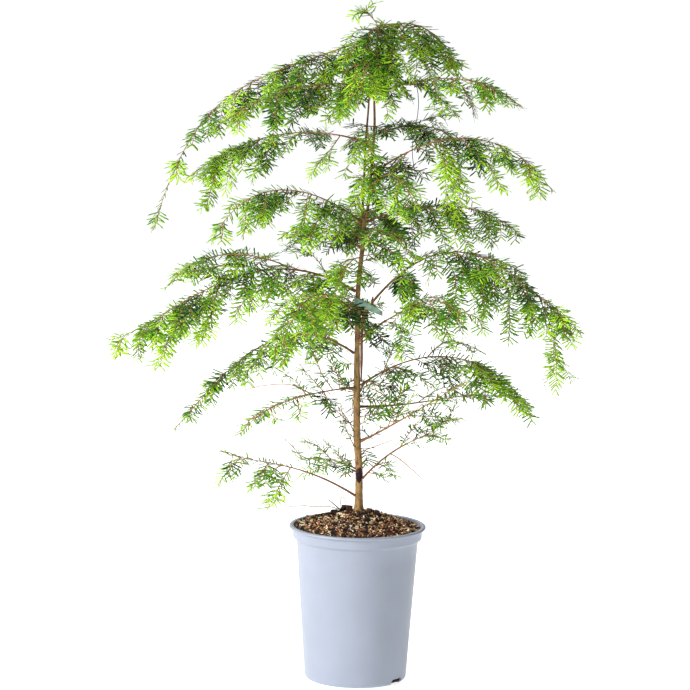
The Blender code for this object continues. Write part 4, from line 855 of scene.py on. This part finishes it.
def fine_twigs(shoot, size, bright, sparse, droop, dice):
    """Short twigs on both sides of a side shoot, longest near its middle."""
    count = round(size / TWIG_SPACING * (SPARSE_TWIGS if sparse else 1.0))
    found = []
    sign = dice.choice((-1, 1))
    for k in range(count):
        place = 0.12 + 0.74 * (k + dice.random()) / max(count, 1)
        at = min(int(place * (len(shoot) - 1)), len(shoot) - 2)
        ahead = (shoot[at + 1] - shoot[at]).normalized()
        length = size * TWIG_SHARE * (1.15 - place) * dice.uniform(0.6, 1.25)
        length = max(TWIG_LENGTHS[0], min(length, TWIG_LENGTHS[1]))
        turn = math.radians(TWIG_ANGLE + dice.uniform(-14, 12))
        direction = leaving(ahead, sign, turn, dice.uniform(-0.25, 0.3))
        root = shoot[at].lerp(shoot[at + 1], place * (len(shoot) - 1) - at)
        line = shoot_line(root, direction, length, droop * 0.7, max(3, round(length / SHOOT_STEP)))
        tone = bright + dice.uniform(-0.12, 0.25)
        found.append(Twig(line, *TWIG_RADII, 0.06, tone, dice.uniform(-40, 40), 1.0))
        sign = -sign
    return found


# Needles and twig wood as arrays

def resampled(line, count):
    """Even points along a line, and the directions there, as arrays."""
    points = np.array([tuple(p) for p in line])
    lengths = np.linalg.norm(np.diff(points, axis=0), axis=1)
    travelled = np.concatenate(([0.0], np.cumsum(lengths)))
    at = np.linspace(0, travelled[-1], count)
    even = np.stack([np.interp(at, travelled, points[:, k]) for k in range(3)], 1)
    ahead = np.gradient(even, axis=0)
    return even, ahead / np.linalg.norm(ahead, axis=1, keepdims=True), travelled[-1]


def frames(ahead, roll):
    """The right-hand and upper directions of a rolled twig, at each point."""
    up = np.array((0.0, 0.0, 1.0))
    side = np.cross(ahead, up)
    size = np.linalg.norm(side, axis=1, keepdims=True)
    side = np.where(size > 0.1, side / np.maximum(size, 1e-9), np.array((0.0, 1.0, 0.0)))
    over = np.cross(side, ahead)
    turn = math.radians(roll)
    return side * math.cos(turn) + over * math.sin(turn), over * math.cos(turn) - side * math.sin(turn)


NEEDLE_FACES = np.array(
    [(0, 2, 1), (0, 3, 2), (0, 1, 3)]
    + [(1, 2, 5), (1, 5, 4), (2, 3, 6), (2, 6, 5), (3, 1, 4), (3, 4, 6)]
    + [(4, 5, 7), (5, 6, 7), (6, 4, 7)]
)


def needles_of_twig(twig, settings, rng):
    """The vertices (needles, 8, 3) and the brightness of each needle of one twig."""
    _, _, length = resampled(twig.line, 2)
    count = int(length * (1 - twig.bare) / settings.needle_spacing * twig.fullness)
    if count < 2:
        return None
    even, ahead, _ = resampled(twig.line, TWIG_SAMPLES)
    at = twig.bare + (1 - twig.bare) * (np.arange(count) + rng.uniform(0.1, 0.9, count)) / count
    index, samples = at * (TWIG_SAMPLES - 1), np.arange(TWIG_SAMPLES)
    root = np.stack([np.interp(index, samples, even[:, k]) for k in range(3)], 1)
    forward = np.stack([np.interp(index, samples, ahead[:, k]) for k in range(3)], 1)
    forward /= np.linalg.norm(forward, axis=1, keepdims=True)
    side, over = frames(forward, twig.roll)
    vertices, tones = [], []
    for hand in (-1, 1):
        angle = np.radians(rng.uniform(*NEEDLE_ANGLES, count) - 30 * np.clip((at - 0.75) / 0.25, 0, 1))
        lift = rng.normal(settings.needle_lift, NEEDLE_LIFT_SPREAD, count)
        along_needle = (
            forward * np.cos(angle)[:, None]
            + side * (hand * np.sin(angle))[:, None]
            + over * lift[:, None]
        )
        along_needle /= np.linalg.norm(along_needle, axis=1, keepdims=True)
        across = np.cross(over, along_needle)
        across /= np.linalg.norm(across, axis=1, keepdims=True)
        normal = np.cross(along_needle, across)
        shorter = 1 - 0.35 * np.clip((at - 0.7) / 0.3, 0, 1)
        size = settings.needle_length * rng.uniform(*NEEDLE_SIZES, count) * shorter
        half = settings.needle_width / 2 * rng.uniform(*NEEDLE_HALF_WIDTHS, count)
        fall = -normal * (size * 0.05)[:, None]
        base = root + forward * rng.uniform(-0.001, 0.001, count)[:, None]
        one = base + along_needle * (size * NEEDLE_FOOT)[:, None]
        two = base + along_needle * (size * NEEDLE_SHOULDER)[:, None] + fall
        tip = base + along_needle * size[:, None] + fall * 1.7
        ridge = normal * NEEDLE_RIDGE
        wide = across * half[:, None]
        parts = (base, one - wide * 0.75, one + ridge, one + wide * 0.75)
        parts += (two - wide, two + ridge, two + wide, tip)
        vertices.append(np.stack(parts, 1))
        tip = TIP_BRIGHT * np.clip((at - 0.55) / 0.45, 0, 1)
        spread = rng.uniform(-NEEDLE_BRIGHT_SPREAD, NEEDLE_BRIGHT_SPREAD, count)
        tones.append(twig.bright + tip + spread)
    return np.concatenate(vertices), np.concatenate(tones)


def placed(name, data):
    """A new object in the scene."""
    obj = bpy.data.objects.new(name, data)
    bpy.context.scene.collection.objects.link(obj)
    return obj


def mesh_piece(name, vertices, faces, materials, indices=None, smooth=True):
    """A mesh object that rides on the body, from arrays."""
    mesh = bpy.data.meshes.new(name)
    mesh.from_pydata([tuple(v) for v in vertices], [], [tuple(f) for f in faces])
    for material in materials:
        mesh.materials.append(material)
    if indices is not None:
        mesh.polygons.foreach_set("material_index", np.asarray(indices, np.int32))
    if smooth:
        mesh.shade_smooth()
    mesh.update()
    obj = placed(name, mesh)
    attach(obj, "root")
    return obj


def ring_faces(rings, sides, closed=True):
    """Faces between one ring of vertices and the next, and over both ends where it is closed."""
    faces = []
    for i in range(rings - 1):
        for k in range(sides):
            a, b = i * sides + k, i * sides + (k + 1) % sides
            faces.append((a, b, b + sides, a + sides))
    if closed:
        faces.append(tuple(range(sides))[::-1])
        faces.append(tuple(range((rings - 1) * sides, rings * sides)))
    return faces


def tube_arrays(line, start_radius, end_radius, sides):
    """A closed tube along a line, as vertices and faces."""
    points, ahead, _ = resampled(line, max(3, len(line)))
    side, over = frames(ahead, 0)
    count = len(points)
    radius = np.linspace(start_radius, end_radius, count)
    turn = np.arange(sides) * 2 * math.pi / sides
    across, above = np.cos(turn)[None, :, None], np.sin(turn)[None, :, None]
    ring = (side[:, None, :] * across + over[:, None, :] * above) * radius[:, None, None]
    return (points[:, None, :] + ring).reshape(-1, 3), ring_faces(count, sides)


def gathered(parts):
    """Several (vertices, faces) joined into one."""
    vertices, faces, offset = [], [], 0
    for points, loops in parts:
        vertices.append(np.asarray(points))
        faces += [tuple(v + offset for v in loop) for loop in loops]
        offset += len(points)
    return np.concatenate(vertices), faces


def in_open_place(points):
    """Which points stand where the plant has no needles."""
    found = np.zeros(points.shape[:-1], bool)
    for low, high in OPEN_PLACES:
        found |= ((points > np.array(low)) & (points < np.array(high))).all(axis=-1)
    return found


def settings_of(context):
    return context.scene.hemlock


def link_finish(node, material):
    """Gives a CAD node that stays in view a better material."""
    obj = frame["nodes"][node]
    if obj.material_slots:
        obj.material_slots[0].material = material
    else:
        obj.data.materials.append(material)


class HemlockSettings(bpy.types.PropertyGroup):
    """Sizes and colours that a user would change."""

    needle_length: FloatProperty(
        name="Needle length",
        description="Length of a full needle",
        default=0.0155,
        unit="LENGTH",
    )
    needle_width: FloatProperty(
        name="Needle width",
        description="Width of a needle",
        default=0.0019,
        unit="LENGTH",
    )
    needle_spacing: FloatProperty(
        name="Needle spacing",
        description="Gap between needles on one side of a twig",
        default=0.0034,
        unit="LENGTH",
    )
    needle_lift: FloatProperty(
        name="Needle lift",
        description="How far needles stand above the plane of their twig",
        default=0.10,
    )
    extra_shoots: FloatProperty(
        name="Extra shoots",
        description="Further shoots for each shoot of the solids",
        default=1.25,
    )
    dark_green: FloatVectorProperty(
        name="Dark green",
        description="Needles inside the plant",
        subtype="COLOR",
        default=(0.008, 0.045, 0.010),
    )
    mid_green: FloatVectorProperty(
        name="Mid green",
        description="Most needles",
        subtype="COLOR",
        default=(0.102, 0.290, 0.010),
    )
    bright_green: FloatVectorProperty(
        name="Bright green",
        description="Needles at the tips",
        subtype="COLOR",
        default=(0.410, 0.700, 0.024),
    )
    bark_colour: FloatVectorProperty(
        name="Bark",
        description="Trunk bark",
        subtype="COLOR",
        default=(0.270, 0.155, 0.055),
    )
    twig_colour: FloatVectorProperty(
        name="Twig",
        description="Boughs and young twigs",
        subtype="COLOR",
        default=(0.330, 0.140, 0.045),
    )
    pot_colour: FloatVectorProperty(
        name="Pot",
        description="Pot plastic",
        subtype="COLOR",
        default=(0.265, 0.293, 0.358),
    )
    chip_count: IntProperty(
        name="Chips",
        description="Bark chips on the mound",
        default=3400,
    )
    key_power: FloatProperty(
        name="Key light",
        description="Power of the main light",
        default=215.0,
        unit="POWER",
    )


class HEMLOCK_OT_wood(bpy.types.Operator):
    """Bark-covered trunk, leaders and boughs in place of the plain limbs"""

    bl_idname = "hemlock.wood"
    bl_label = "Trunk and boughs"

    def execute(self, context):
        settings = settings_of(context)
        bark = settings.bark_colour
        shades = (tinted(bark, 0.25), tinted(bark, 0.80), tinted(bark, 1.35), tinted(bark, 0.5))
        trunk_finish = speckled("trunk bark", shades, 260, 0.85, stretch=(1, 1, 0.35), bump=0.7)
        twig = settings.twig_colour
        bough_shades = (tinted(twig, 0.32), tinted(twig, 0.62), tinted(twig, 0.95))
        bough_finish = speckled("bough bark", bough_shades, 320, 0.8, bump=0.5)
        self.make_stem("trunk", trunk_finish, *TRUNK_BARK)
        for name in LEADER_LINES:
            self.make_stem(name, bough_finish, *LEADER_BARK)
        for limb in LIMBS:
            if limb.wood:
                self.make_bough(limb, bough_finish)
        return {"FINISHED"}

    def make_stem(self, name, finish, sides, step, relief):
        """A stem of level rings, with furrows, flakes and faint rings of bark."""
        line = TRUNK_LINE if name == "trunk" else LEADER_LINES[name]
        foot, top = line[0][2], line[-1][2]
        rings = round((top - foot) / step)
        vertices = []
        for i in range(rings + 1):
            z = foot + (top - foot) * i / rings
            centre, radius = parent_axis(name, z)
            for k in range(sides):
                turn = 2 * math.pi * k / sides
                out = Vector((math.cos(turn), math.sin(turn), 0))
                furrow, flake = (
                    noise.noise(Vector((out.x * round_scale, out.y * round_scale, z * up_scale)))
                    for round_scale, up_scale, _ in (FURROW, FLAKE)
                )
                ring = math.sin(z * BARK_RING[0] + 2 * furrow) * BARK_RING[1]
                depth = relief * (FURROW[2] * furrow + FLAKE[2] * flake + ring)
                vertices.append(Vector((centre.x, centre.y, z)) + out * (radius + depth))
        piece = mesh_piece(name + "_bark", vertices, ring_faces(rings + 1, sides), [finish])
        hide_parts(name)

    def make_bough(self, limb, finish):
        """The bare wood of a limb, a little thicker where it starts."""
        if limb.name == TIED_BOUGH:
            points, radii = tied_foot_points()
            first = TIED_BEND
        else:
            points, radii = [], []
            _, parent_radius = parent_axis(limb.parent, limb.height)
            first = (parent_radius + CLEAR * 0.5) / limb.reach
        steps = max(6, round(limb.reach * limb.wood / BOUGH_STEP))
        for k in range(steps + 1):
            share = first + (limb.wood - first) * k / steps
            points.append(limb_point(limb, share))
            radii.append(bough_radius(limb, share) * (1 + 0.25 * math.exp(-40 * (share - first))))
        vertices, faces = tube_arrays(points, 1.0, 1.0, BOUGH_SIDES)
        centres = resampled(points, len(points))[0]
        shaped = []
        for i, centre in enumerate(centres):
            for k in range(BOUGH_SIDES):
                corner = vertices[i * BOUGH_SIDES + k]
                bump = noise.noise(Vector(corner * 3.0 + centre * 300))
                shaped.append(centre + (corner - centre) * (radii[i] + BOUGH_RELIEF * bump))
        piece = mesh_piece("bough_%s_bark" % limb.name, shaped, faces, [finish])
        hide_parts("bough_" + limb.name)


class HEMLOCK_OT_needles(bpy.types.Operator):
    """Twigs and needles in place of the plain masses"""

    bl_idname = "hemlock.needles"
    bl_label = "Twigs and needles"

    def execute(self, context):
        settings = settings_of(context)
        greens = self.greens(settings)
        twig = settings.twig_colour
        wood = speckled("twig bark", (tinted(twig, 0.45), twig, tinted(twig, 1.3)), 400, 0.75, bump=0.3)
        numbers = {limb.name: number for number, limb in enumerate(LIMBS)}
        rng = np.random.default_rng(SEED)
        for group, names in GROUPS.items():
            twigs = []
            for name in names:
                twigs += twigs_of_limb(limb_named(name), numbers[name], settings)
            self.make_group(group, names, twigs, greens, wood, settings, rng)
        self.make_group("core", (), core_twigs(), greens, wood, settings, rng)
        for half, twigs in single_twigs().items():
            self.make_group(half, (), twigs, greens, wood, settings, rng)
        return {"FINISHED"}

    def greens(self, settings):
        dark, middle, bright = settings.dark_green, settings.mid_green, settings.bright_green
        found = []
        for k in range(GREENS):
            share = k / (GREENS - 1)
            if share < 0.5:
                colour = mixed(dark, middle, share * 2)
            else:
                colour = mixed(middle, bright, share * 2 - 1)
            shades = (tinted(colour, 0.72), colour, tinted(colour, 1.25))
            found.append(speckled("needle green %d" % k, shades, 130, 0.6, specular=0.25))
        return found

    def make_group(self, group, names, twigs, greens, wood, settings, rng):
        vertices, tones, tubes = [], [], []
        for twig in twigs:
            points = np.array([tuple(p) for p in twig.line])
            if twig.root_radius < THIN_TWIG and in_open_place(points).any():
                continue
            sides = 4 if twig.root_radius < 0.0007 else 6
            tubes.append(tube_arrays(twig.line, twig.root_radius, twig.tip_radius, sides))
            grown = needles_of_twig(twig, settings, rng)
            if grown:
                vertices.append(grown[0])
                tones.append(grown[1])
        stems = mesh_piece("twigs_" + group, *gathered(tubes), [wood])
        points = np.concatenate(vertices)
        tone = np.concatenate(tones)
        inside = self.inside_box(points)
        points, tone = points[inside], tone[inside]
        count = len(points)
        faces = (NEEDLE_FACES[None] + 8 * np.arange(count)[:, None, None]).reshape(-1, 3)
        shade = np.clip((tone * GREENS).astype(int), 0, GREENS - 1)
        indices = np.repeat(shade, len(NEEDLE_FACES))
        name = "needles_" + group + "_fine"
        needles = mesh_piece(name, points.reshape(-1, 3), faces, greens, indices)
        if names:
            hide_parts(*("needles_" + name for name in names))

    def inside_box(self, points):
        """Needles that stay in the solids' box, above the mix and out of the open places."""
        low, high = np.array(CAD_BOX[0]) - BOX_ROOM, np.array(CAD_BOX[1]) + BOX_ROOM
        kept = ((points > low) & (points < high)).all(axis=(1, 2))
        kept &= points[:, :, 2].min(axis=1) > SOIL_TOP_HEIGHT + MIX_ROOM
        return kept & ~in_open_place(points).any(axis=1)


def body_radius(height):
    top = POT_HEIGHT - LIP_DEPTH - COLLAR_DEPTH
    return FOOT_RADIUS + (BODY_RADIUS - FOOT_RADIUS) * height / top


def pot_section():
    """The pot's closed section, from the axis on top of the floor round to the axis below it."""
    collar_foot = POT_HEIGHT - LIP_DEPTH - COLLAR_DEPTH
    lip_foot = POT_HEIGHT - LIP_DEPTH
    half = LIP_DEPTH / 2
    inner = [(0, FLOOR), (body_radius(FLOOR) - WALL - 0.0022, FLOOR)]
    inner += [
        (body_radius(FOOT_ROUNDING * 1.6) - WALL, FOOT_ROUNDING * 1.6),
        (body_radius(collar_foot - 0.0030) - WALL, collar_foot - 0.0030),
        (COLLAR_RADIUS - WALL - 0.0008, collar_foot + 0.0026),
        (COLLAR_RADIUS - WALL, POT_HEIGHT - 0.0012),
        (COLLAR_RADIUS - WALL + 0.0005, POT_HEIGHT - 0.0003),
    ]
    outer = [(COLLAR_RADIUS + 0.0010, POT_HEIGHT)]
    for degrees in range(80, -81, -20):
        turn = math.radians(degrees)
        radius = LIP_RADIUS - half + half * math.cos(turn)
        outer.append((radius, lip_foot + half + half * math.sin(turn)))
    outer += [
        (COLLAR_RADIUS + 0.0006, lip_foot),
        (COLLAR_RADIUS, lip_foot - 0.0008),
        (COLLAR_RADIUS - 0.0004, collar_foot + 0.0030),
        (COLLAR_RADIUS - 0.0008, collar_foot + 0.0014),
        (COLLAR_RADIUS - 0.0022, collar_foot + 0.0003),
        (BODY_RADIUS + 0.0010, collar_foot - 0.0010),
        (BODY_RADIUS, collar_foot - 0.0024),
    ]
    for k in range(1, 9):
        height = (collar_foot - 0.0024) * (1 - k / 9)
        if height > FOOT_ROUNDING * 1.5:
            outer.append((body_radius(height), height))
    for degrees in range(0, 91, 15):
        turn = math.radians(degrees)
        height = FOOT_ROUNDING * (1 - math.sin(turn))
        outer.append((body_radius(height) - FOOT_ROUNDING * (1 - math.cos(turn)), height))
    return inner + outer + [(0, 0)]


class HEMLOCK_OT_pot(bpy.types.Operator):
    """Smooth moulded pot with its lip, collar and drainage notches"""

    bl_idname = "hemlock.pot"
    bl_label = "Pot"

    def execute(self, context):
        colour = settings_of(context).pot_colour
        shades = (tinted(colour, 0.96), colour, tinted(colour, 1.04))
        finish = speckled("pot plastic", shades, 24, 0.42, bump=0.02)
        section = pot_section()
        vertices = [(0, 0, section[0][1])]
        for radius, height in section[1:-1]:
            for k in range(POT_SIDES):
                turn = 2 * math.pi * k / POT_SIDES
                vertices.append((radius * math.cos(turn), radius * math.sin(turn), height))
        vertices.append((0, 0, section[-1][1]))
        faces = []
        rings = len(section) - 2
        for k in range(POT_SIDES):
            after = (k + 1) % POT_SIDES
            faces.append((0, 1 + k, 1 + after))
            for i in range(rings - 1):
                a, b = 1 + i * POT_SIDES + k, 1 + i * POT_SIDES + after
                faces.append((a, a + POT_SIDES, b + POT_SIDES, b))
            last = 1 + (rings - 1) * POT_SIDES
            faces.append((last + k, len(vertices) - 1, last + after))
        pot = mesh_piece("nursery_pot", vertices, faces, [finish])
        self.turn_outwards(pot)
        for azimuth in NOTCH_AZIMUTHS:
            self.cut_notch(pot, azimuth)
        pot.data.shade_smooth()
        pot.data.set_sharp_from_angle(angle=math.radians(50))
        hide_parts("pot")
        return {"FINISHED"}

    def turn_outwards(self, obj):
        work = bmesh.new()
        work.from_mesh(obj.data)
        bmesh.ops.recalc_face_normals(work, faces=work.faces)
        work.to_mesh(obj.data)
        work.free()

    def cut_notch(self, pot, azimuth):
        out, side = heading(azimuth), UP.cross(heading(azimuth))
        half = NOTCH_WIDTH / 2
        shoulder, crown = NOTCH_HEIGHT * 0.7, half * 0.8
        outline = [(-half, -0.002), (half, -0.002), (half, shoulder)]
        outline += [(crown, NOTCH_HEIGHT), (-crown, NOTCH_HEIGHT), (-half, shoulder)]
        near, far = FOOT_RADIUS - 0.011, FOOT_RADIUS + 0.006
        vertices = [out * distance + side * x + UP * z for distance in (near, far) for x, z in outline]
        count = len(outline)
        faces = [tuple(range(count))[::-1], tuple(range(count, 2 * count))]
        faces += [(k, (k + 1) % count, (k + 1) % count + count, k + count) for k in range(count)]
        mesh = bpy.data.meshes.new("notch shape")
        mesh.from_pydata([tuple(v) for v in vertices], [], faces)
        cutter = placed("notch shape", mesh)
        self.turn_outwards(cutter)
        cut = pot.modifiers.new("notch", "BOOLEAN")
        cut.operation = "DIFFERENCE"
        cut.solver = "EXACT"
        cut.object = cutter
        graph = bpy.context.evaluated_depsgraph_get()
        changed = bpy.data.meshes.new_from_object(pot.evaluated_get(graph))
        pot.modifiers.clear()
        pot.data = changed
        bpy.data.objects.remove(cutter, do_unlink=True)


def soil_height(share, azimuth):
    edge = SOIL_EDGE_HEIGHT + SOIL_EDGE_TILT * math.cos(math.radians(azimuth - SOIL_HIGH_SIDE))
    return edge + (SOIL_TOP_HEIGHT - edge) * max(0.0, 1 - share**1.35)


class HEMLOCK_OT_mix(bpy.types.Operator):
    """Mound of bark mix with loose chips, grit and clods on top"""

    bl_idname = "hemlock.mix"
    bl_label = "Bark mix"

    def execute(self, context):
        settings = settings_of(context)
        # The mound shows the mix's dark brown and also painted shade in the gaps between the chips
        ground = speckled("mix ground and gap shade", GROUND_AND_GAP_SHADE_COLOURS, 300, 0.95, bump=1.0)
        self.make_mound(ground)
        self.make_chips(settings)
        return {"FINISHED"}

    def make_mound(self, ground):
        sides, rings = MOUND_SIDES, MOUND_RINGS
        vertices = []
        for i in range(rings + 1):
            share = 1 - i / rings
            for k in range(sides):
                azimuth = 360 * k / sides
                place = heading(azimuth) * SOIL_RADIUS * share
                rough = sum(noise.noise(place * scale) * depth for scale, depth in MOUND_RELIEF)
                if share < MOUND_SMOOTH_SHARE:
                    rough = 0
                vertices.append(place + UP * (soil_height(share, azimuth) + rough - MOUND_DROP))
        faces = ring_faces(rings + 1, sides, closed=False)
        rim = len(vertices)
        wall = (
            (body_radius(0.17) - WALL - CLEAR * 1.6, 0.172),
            (body_radius(0.01) - WALL - 0.002, FLOOR + CLEAR),
        )
        for radius, height in wall:
            for k in range(sides):
                vertices.append(heading(360 * k / sides) * radius + UP * height)
        for k in range(sides):
            after = (k + 1) % sides
            faces.append((k, rim + k, rim + after, after))
            faces.append((rim + k, rim + sides + k, rim + sides + after, rim + after))
        faces.append(tuple(range(rim + sides, rim + 2 * sides)))
        mound = mesh_piece("bark_mix", vertices, faces, [ground])
        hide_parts("soil")

    def make_chips(self, settings):
        finishes = [
            speckled("chip %d" % k, (tinted(c, 0.6), c, tinted(c, 1.3)), 500, 0.9, bump=0.4)
            for k, c in enumerate(CHIP_COLOURS)
        ]
        dice = random.Random(SEED + 7)
        parts, indices = [], []
        for _ in range(settings.chip_count):
            share = math.sqrt(dice.random()) * 0.975
            azimuth = dice.uniform(0, 360)
            length = dice.uniform(*(CHIP_LONG if dice.random() < LONG_SHARE else CHIP_SHORT))
            width, thick = length * dice.uniform(0.3, 0.6), length * dice.uniform(0.18, 0.4)
            away = share * SOIL_RADIUS
            if away + length / 2 > SOIL_RADIUS - CHIP_RIM_ROOM or away < CHIP_FREE_RADIUS:
                continue
            centre = heading(azimuth) * SOIL_RADIUS * share
            centre.z = soil_height(share, azimuth) + dice.uniform(*CHIP_HEIGHTS)
            points, loops = self.chip(length, width, thick, dice)
            yaw, tip, roll = dice.uniform(0, 2 * math.pi), dice.gauss(0, 0.40), dice.gauss(0, 0.7)
            turned = []
            for x, y, z in points:
                y, z = y * math.cos(roll) - z * math.sin(roll), y * math.sin(roll) + z * math.cos(roll)
                x, z = x * math.cos(tip) - z * math.sin(tip), x * math.sin(tip) + z * math.cos(tip)
                turned.append(self.turned((x, y, z), yaw, centre))
            parts.append((turned, loops))
            indices += [dice.choices(range(len(CHIP_COLOURS)), CHIP_WEIGHTS)[0]] * len(loops)
        for x, y, z, size in CLODS:
            for _ in range(CLOD_CHIPS):
                points, loops = self.chip(size, size * 0.8, size * 0.7, dice)
                turn = dice.uniform(0, math.pi)
                shift = [dice.uniform(-0.2, 0.2) * size for _ in range(3)]
                centre = (x + shift[0], y + shift[1], z + shift[2])
                parts.append(([self.turned(point, turn, centre) for point in points], loops))
                indices += [dice.choice(CLOD_FINISHES)] * len(loops)
        vertices, faces = gathered(parts)
        chips = mesh_piece("bark_chips", vertices, faces, finishes, indices, smooth=False)

    def turned(self, point, turn, centre):
        """A point turned about the vertical and moved to a place."""
        x, y, z = point
        return (
            centre[0] + x * math.cos(turn) - y * math.sin(turn),
            centre[1] + x * math.sin(turn) + y * math.cos(turn),
            centre[2] + z,
        )

    def chip(self, length, width, thick, dice):
        """An irregular flake with eight corners."""
        points = []
        for x in (-1, 1):
            taper = dice.uniform(0.35, 1.0)
            for y, z in ((-1, -1), (1, -1), (1, 1), (-1, 1)):
                jitter = [dice.uniform(0.7, 1.15) for _ in range(3)]
                points.append((
                    x * length / 2 * jitter[0],
                    y * width / 2 * jitter[1] * taper,
                    z * thick / 2 * jitter[2] * taper,
                ))
        return points, [(0, 3, 2, 1), (4, 5, 6, 7), (0, 1, 5, 4), (1, 2, 6, 5), (2, 3, 7, 6), (3, 0, 4, 7)]


class HEMLOCK_OT_details(bpy.types.Operator):
    """Tape, wound seal, thread and fallen dry twigs"""

    bl_idname = "hemlock.details"
    bl_label = "Tape, wound, thread and dry twigs"

    def execute(self, context):
        tape = speckled("tying tape", TAPE_COLOURS, 180, 0.5, bump=0.3)
        wound = speckled("sealed wound", WOUND_COLOURS, 240, 0.7, bump=0.8, specular=0.2)
        thread = speckled("thread", THREAD_COLOURS, 600, 0.8, bump=0.3)
        link_finish("tie", tape)
        link_finish("wound_seal", wound)
        link_finish("hanging_thread", thread)
        self.make_dry_twigs()
        return {"FINISHED"}

    def make_dry_twigs(self):
        pale = speckled("dry twig", PALE_TWIG_COLOURS, 300, 0.85, bump=0.3)
        dark = speckled("dark twig", DARK_TWIG_COLOURS, 300, 0.85, bump=0.3)
        parts, indices = [], []
        for radius, finish, line in DRY_TWIGS:
            steps = 8 * (len(line) - 1)
            curve = [along(line, k / steps) for k in range(steps + 1)]
            tube = tube_arrays(curve, radius, radius * 0.6, 8)
            parts.append(tube)
            indices += [finish] * len(tube[1])
        twigs = mesh_piece("dry_twigs", *gathered(parts), [pale, dark], indices)


class HEMLOCK_OT_stage(bpy.types.Operator):
    """Pale floor, soft studio light and the photograph's camera"""

    bl_idname = "hemlock.stage"
    bl_label = "Stage"

    def execute(self, context):
        scene = context.scene
        scene.view_settings.view_transform = "Standard"
        scene.view_settings.look = "None"
        scene.view_settings.exposure = 0.0
        self.make_floor()
        self.make_world(scene)
        power = settings_of(context).key_power
        for name, place, size, share in LIGHTS:
            self.make_light(name, place, size, power * share)
        lens = bpy.data.cameras.new("camera")
        lens.lens = CAMERA_LENS
        lens.sensor_width = SENSOR_WIDTH
        lens.clip_end = CLIP_END
        camera = placed("camera", lens)
        camera.location = CAMERA_PLACE
        pitch = Matrix.Rotation(math.radians(90 - CAMERA_PITCH), 3, "X")
        roll = Matrix.Rotation(math.radians(CAMERA_ROLL), 3, "Z")
        camera.rotation_euler = (pitch @ roll).to_euler()
        scene.camera = camera
        return {"FINISHED"}

    def make_floor(self):
        turns = [2 * math.pi * k / FLOOR_SIDES for k in range(FLOOR_SIDES)]
        vertices = [(FLOOR_RADIUS * math.cos(turn), FLOOR_RADIUS * math.sin(turn), 0) for turn in turns]
        mesh = bpy.data.meshes.new("floor")
        mesh.from_pydata(vertices, [], [tuple(range(FLOOR_SIDES))])
        white = speckled("floor white", FLOOR_COLOURS, 0.5, 0.9)
        shader_of(white).inputs["Emission Color"].default_value = (1, 1, 1, 1)
        shader_of(white).inputs["Emission Strength"].default_value = FLOOR_GLOW
        mesh.materials.append(white)
        placed("floor", mesh)

    def make_world(self, scene):
        world = bpy.data.worlds.new("studio")
        world.use_nodes = True
        background = world.node_tree.nodes["Background"]
        background.inputs["Color"].default_value = WORLD_COLOUR
        background.inputs["Strength"].default_value = WORLD_STRENGTH
        scene.world = world

    def make_light(self, name, place, size, power):
        lamp = bpy.data.lights.new(name, "AREA")
        lamp.shape = "DISK"
        lamp.size = size
        lamp.energy = power
        obj = placed(name, lamp)
        obj.location = place
        aim = Vector(LIGHT_AIM) - Vector(place)
        obj.rotation_euler = aim.to_track_quat("-Z", "Y").to_euler()


class HEMLOCK_PT_panel(bpy.types.Panel):
    """The steps that dress the plant, and the sizes and colours they use"""

    bl_idname = "HEMLOCK_PT_panel"
    bl_label = "Potted hemlock"
    bl_space_type = "VIEW_3D"
    bl_region_type = "UI"
    bl_category = "Hemlock"

    def draw(self, context):
        layout = self.layout
        for name in HemlockSettings.__annotations__:
            layout.prop(context.scene.hemlock, name)
        for step in STEPS:
            layout.operator(step.bl_idname)


STEPS = (
    HEMLOCK_OT_wood,
    HEMLOCK_OT_needles,
    HEMLOCK_OT_pot,
    HEMLOCK_OT_mix,
    HEMLOCK_OT_details,
    HEMLOCK_OT_stage,
)
CLASSES = (HemlockSettings, *STEPS, HEMLOCK_PT_panel)


def register():
    for item in CLASSES:
        bpy.utils.register_class(item)
    bpy.types.Scene.hemlock = PointerProperty(type=HemlockSettings)


def unregister():
    del bpy.types.Scene.hemlock
    for item in reversed(CLASSES):
        bpy.utils.unregister_class(item)


def main():
    register()
    bpy.ops.hemlock.wood()
    bpy.ops.hemlock.needles()
    bpy.ops.hemlock.pot()
    bpy.ops.hemlock.mix()
    bpy.ops.hemlock.details()
    bpy.ops.hemlock.stage()


if __name__ == "__main__":
    main()
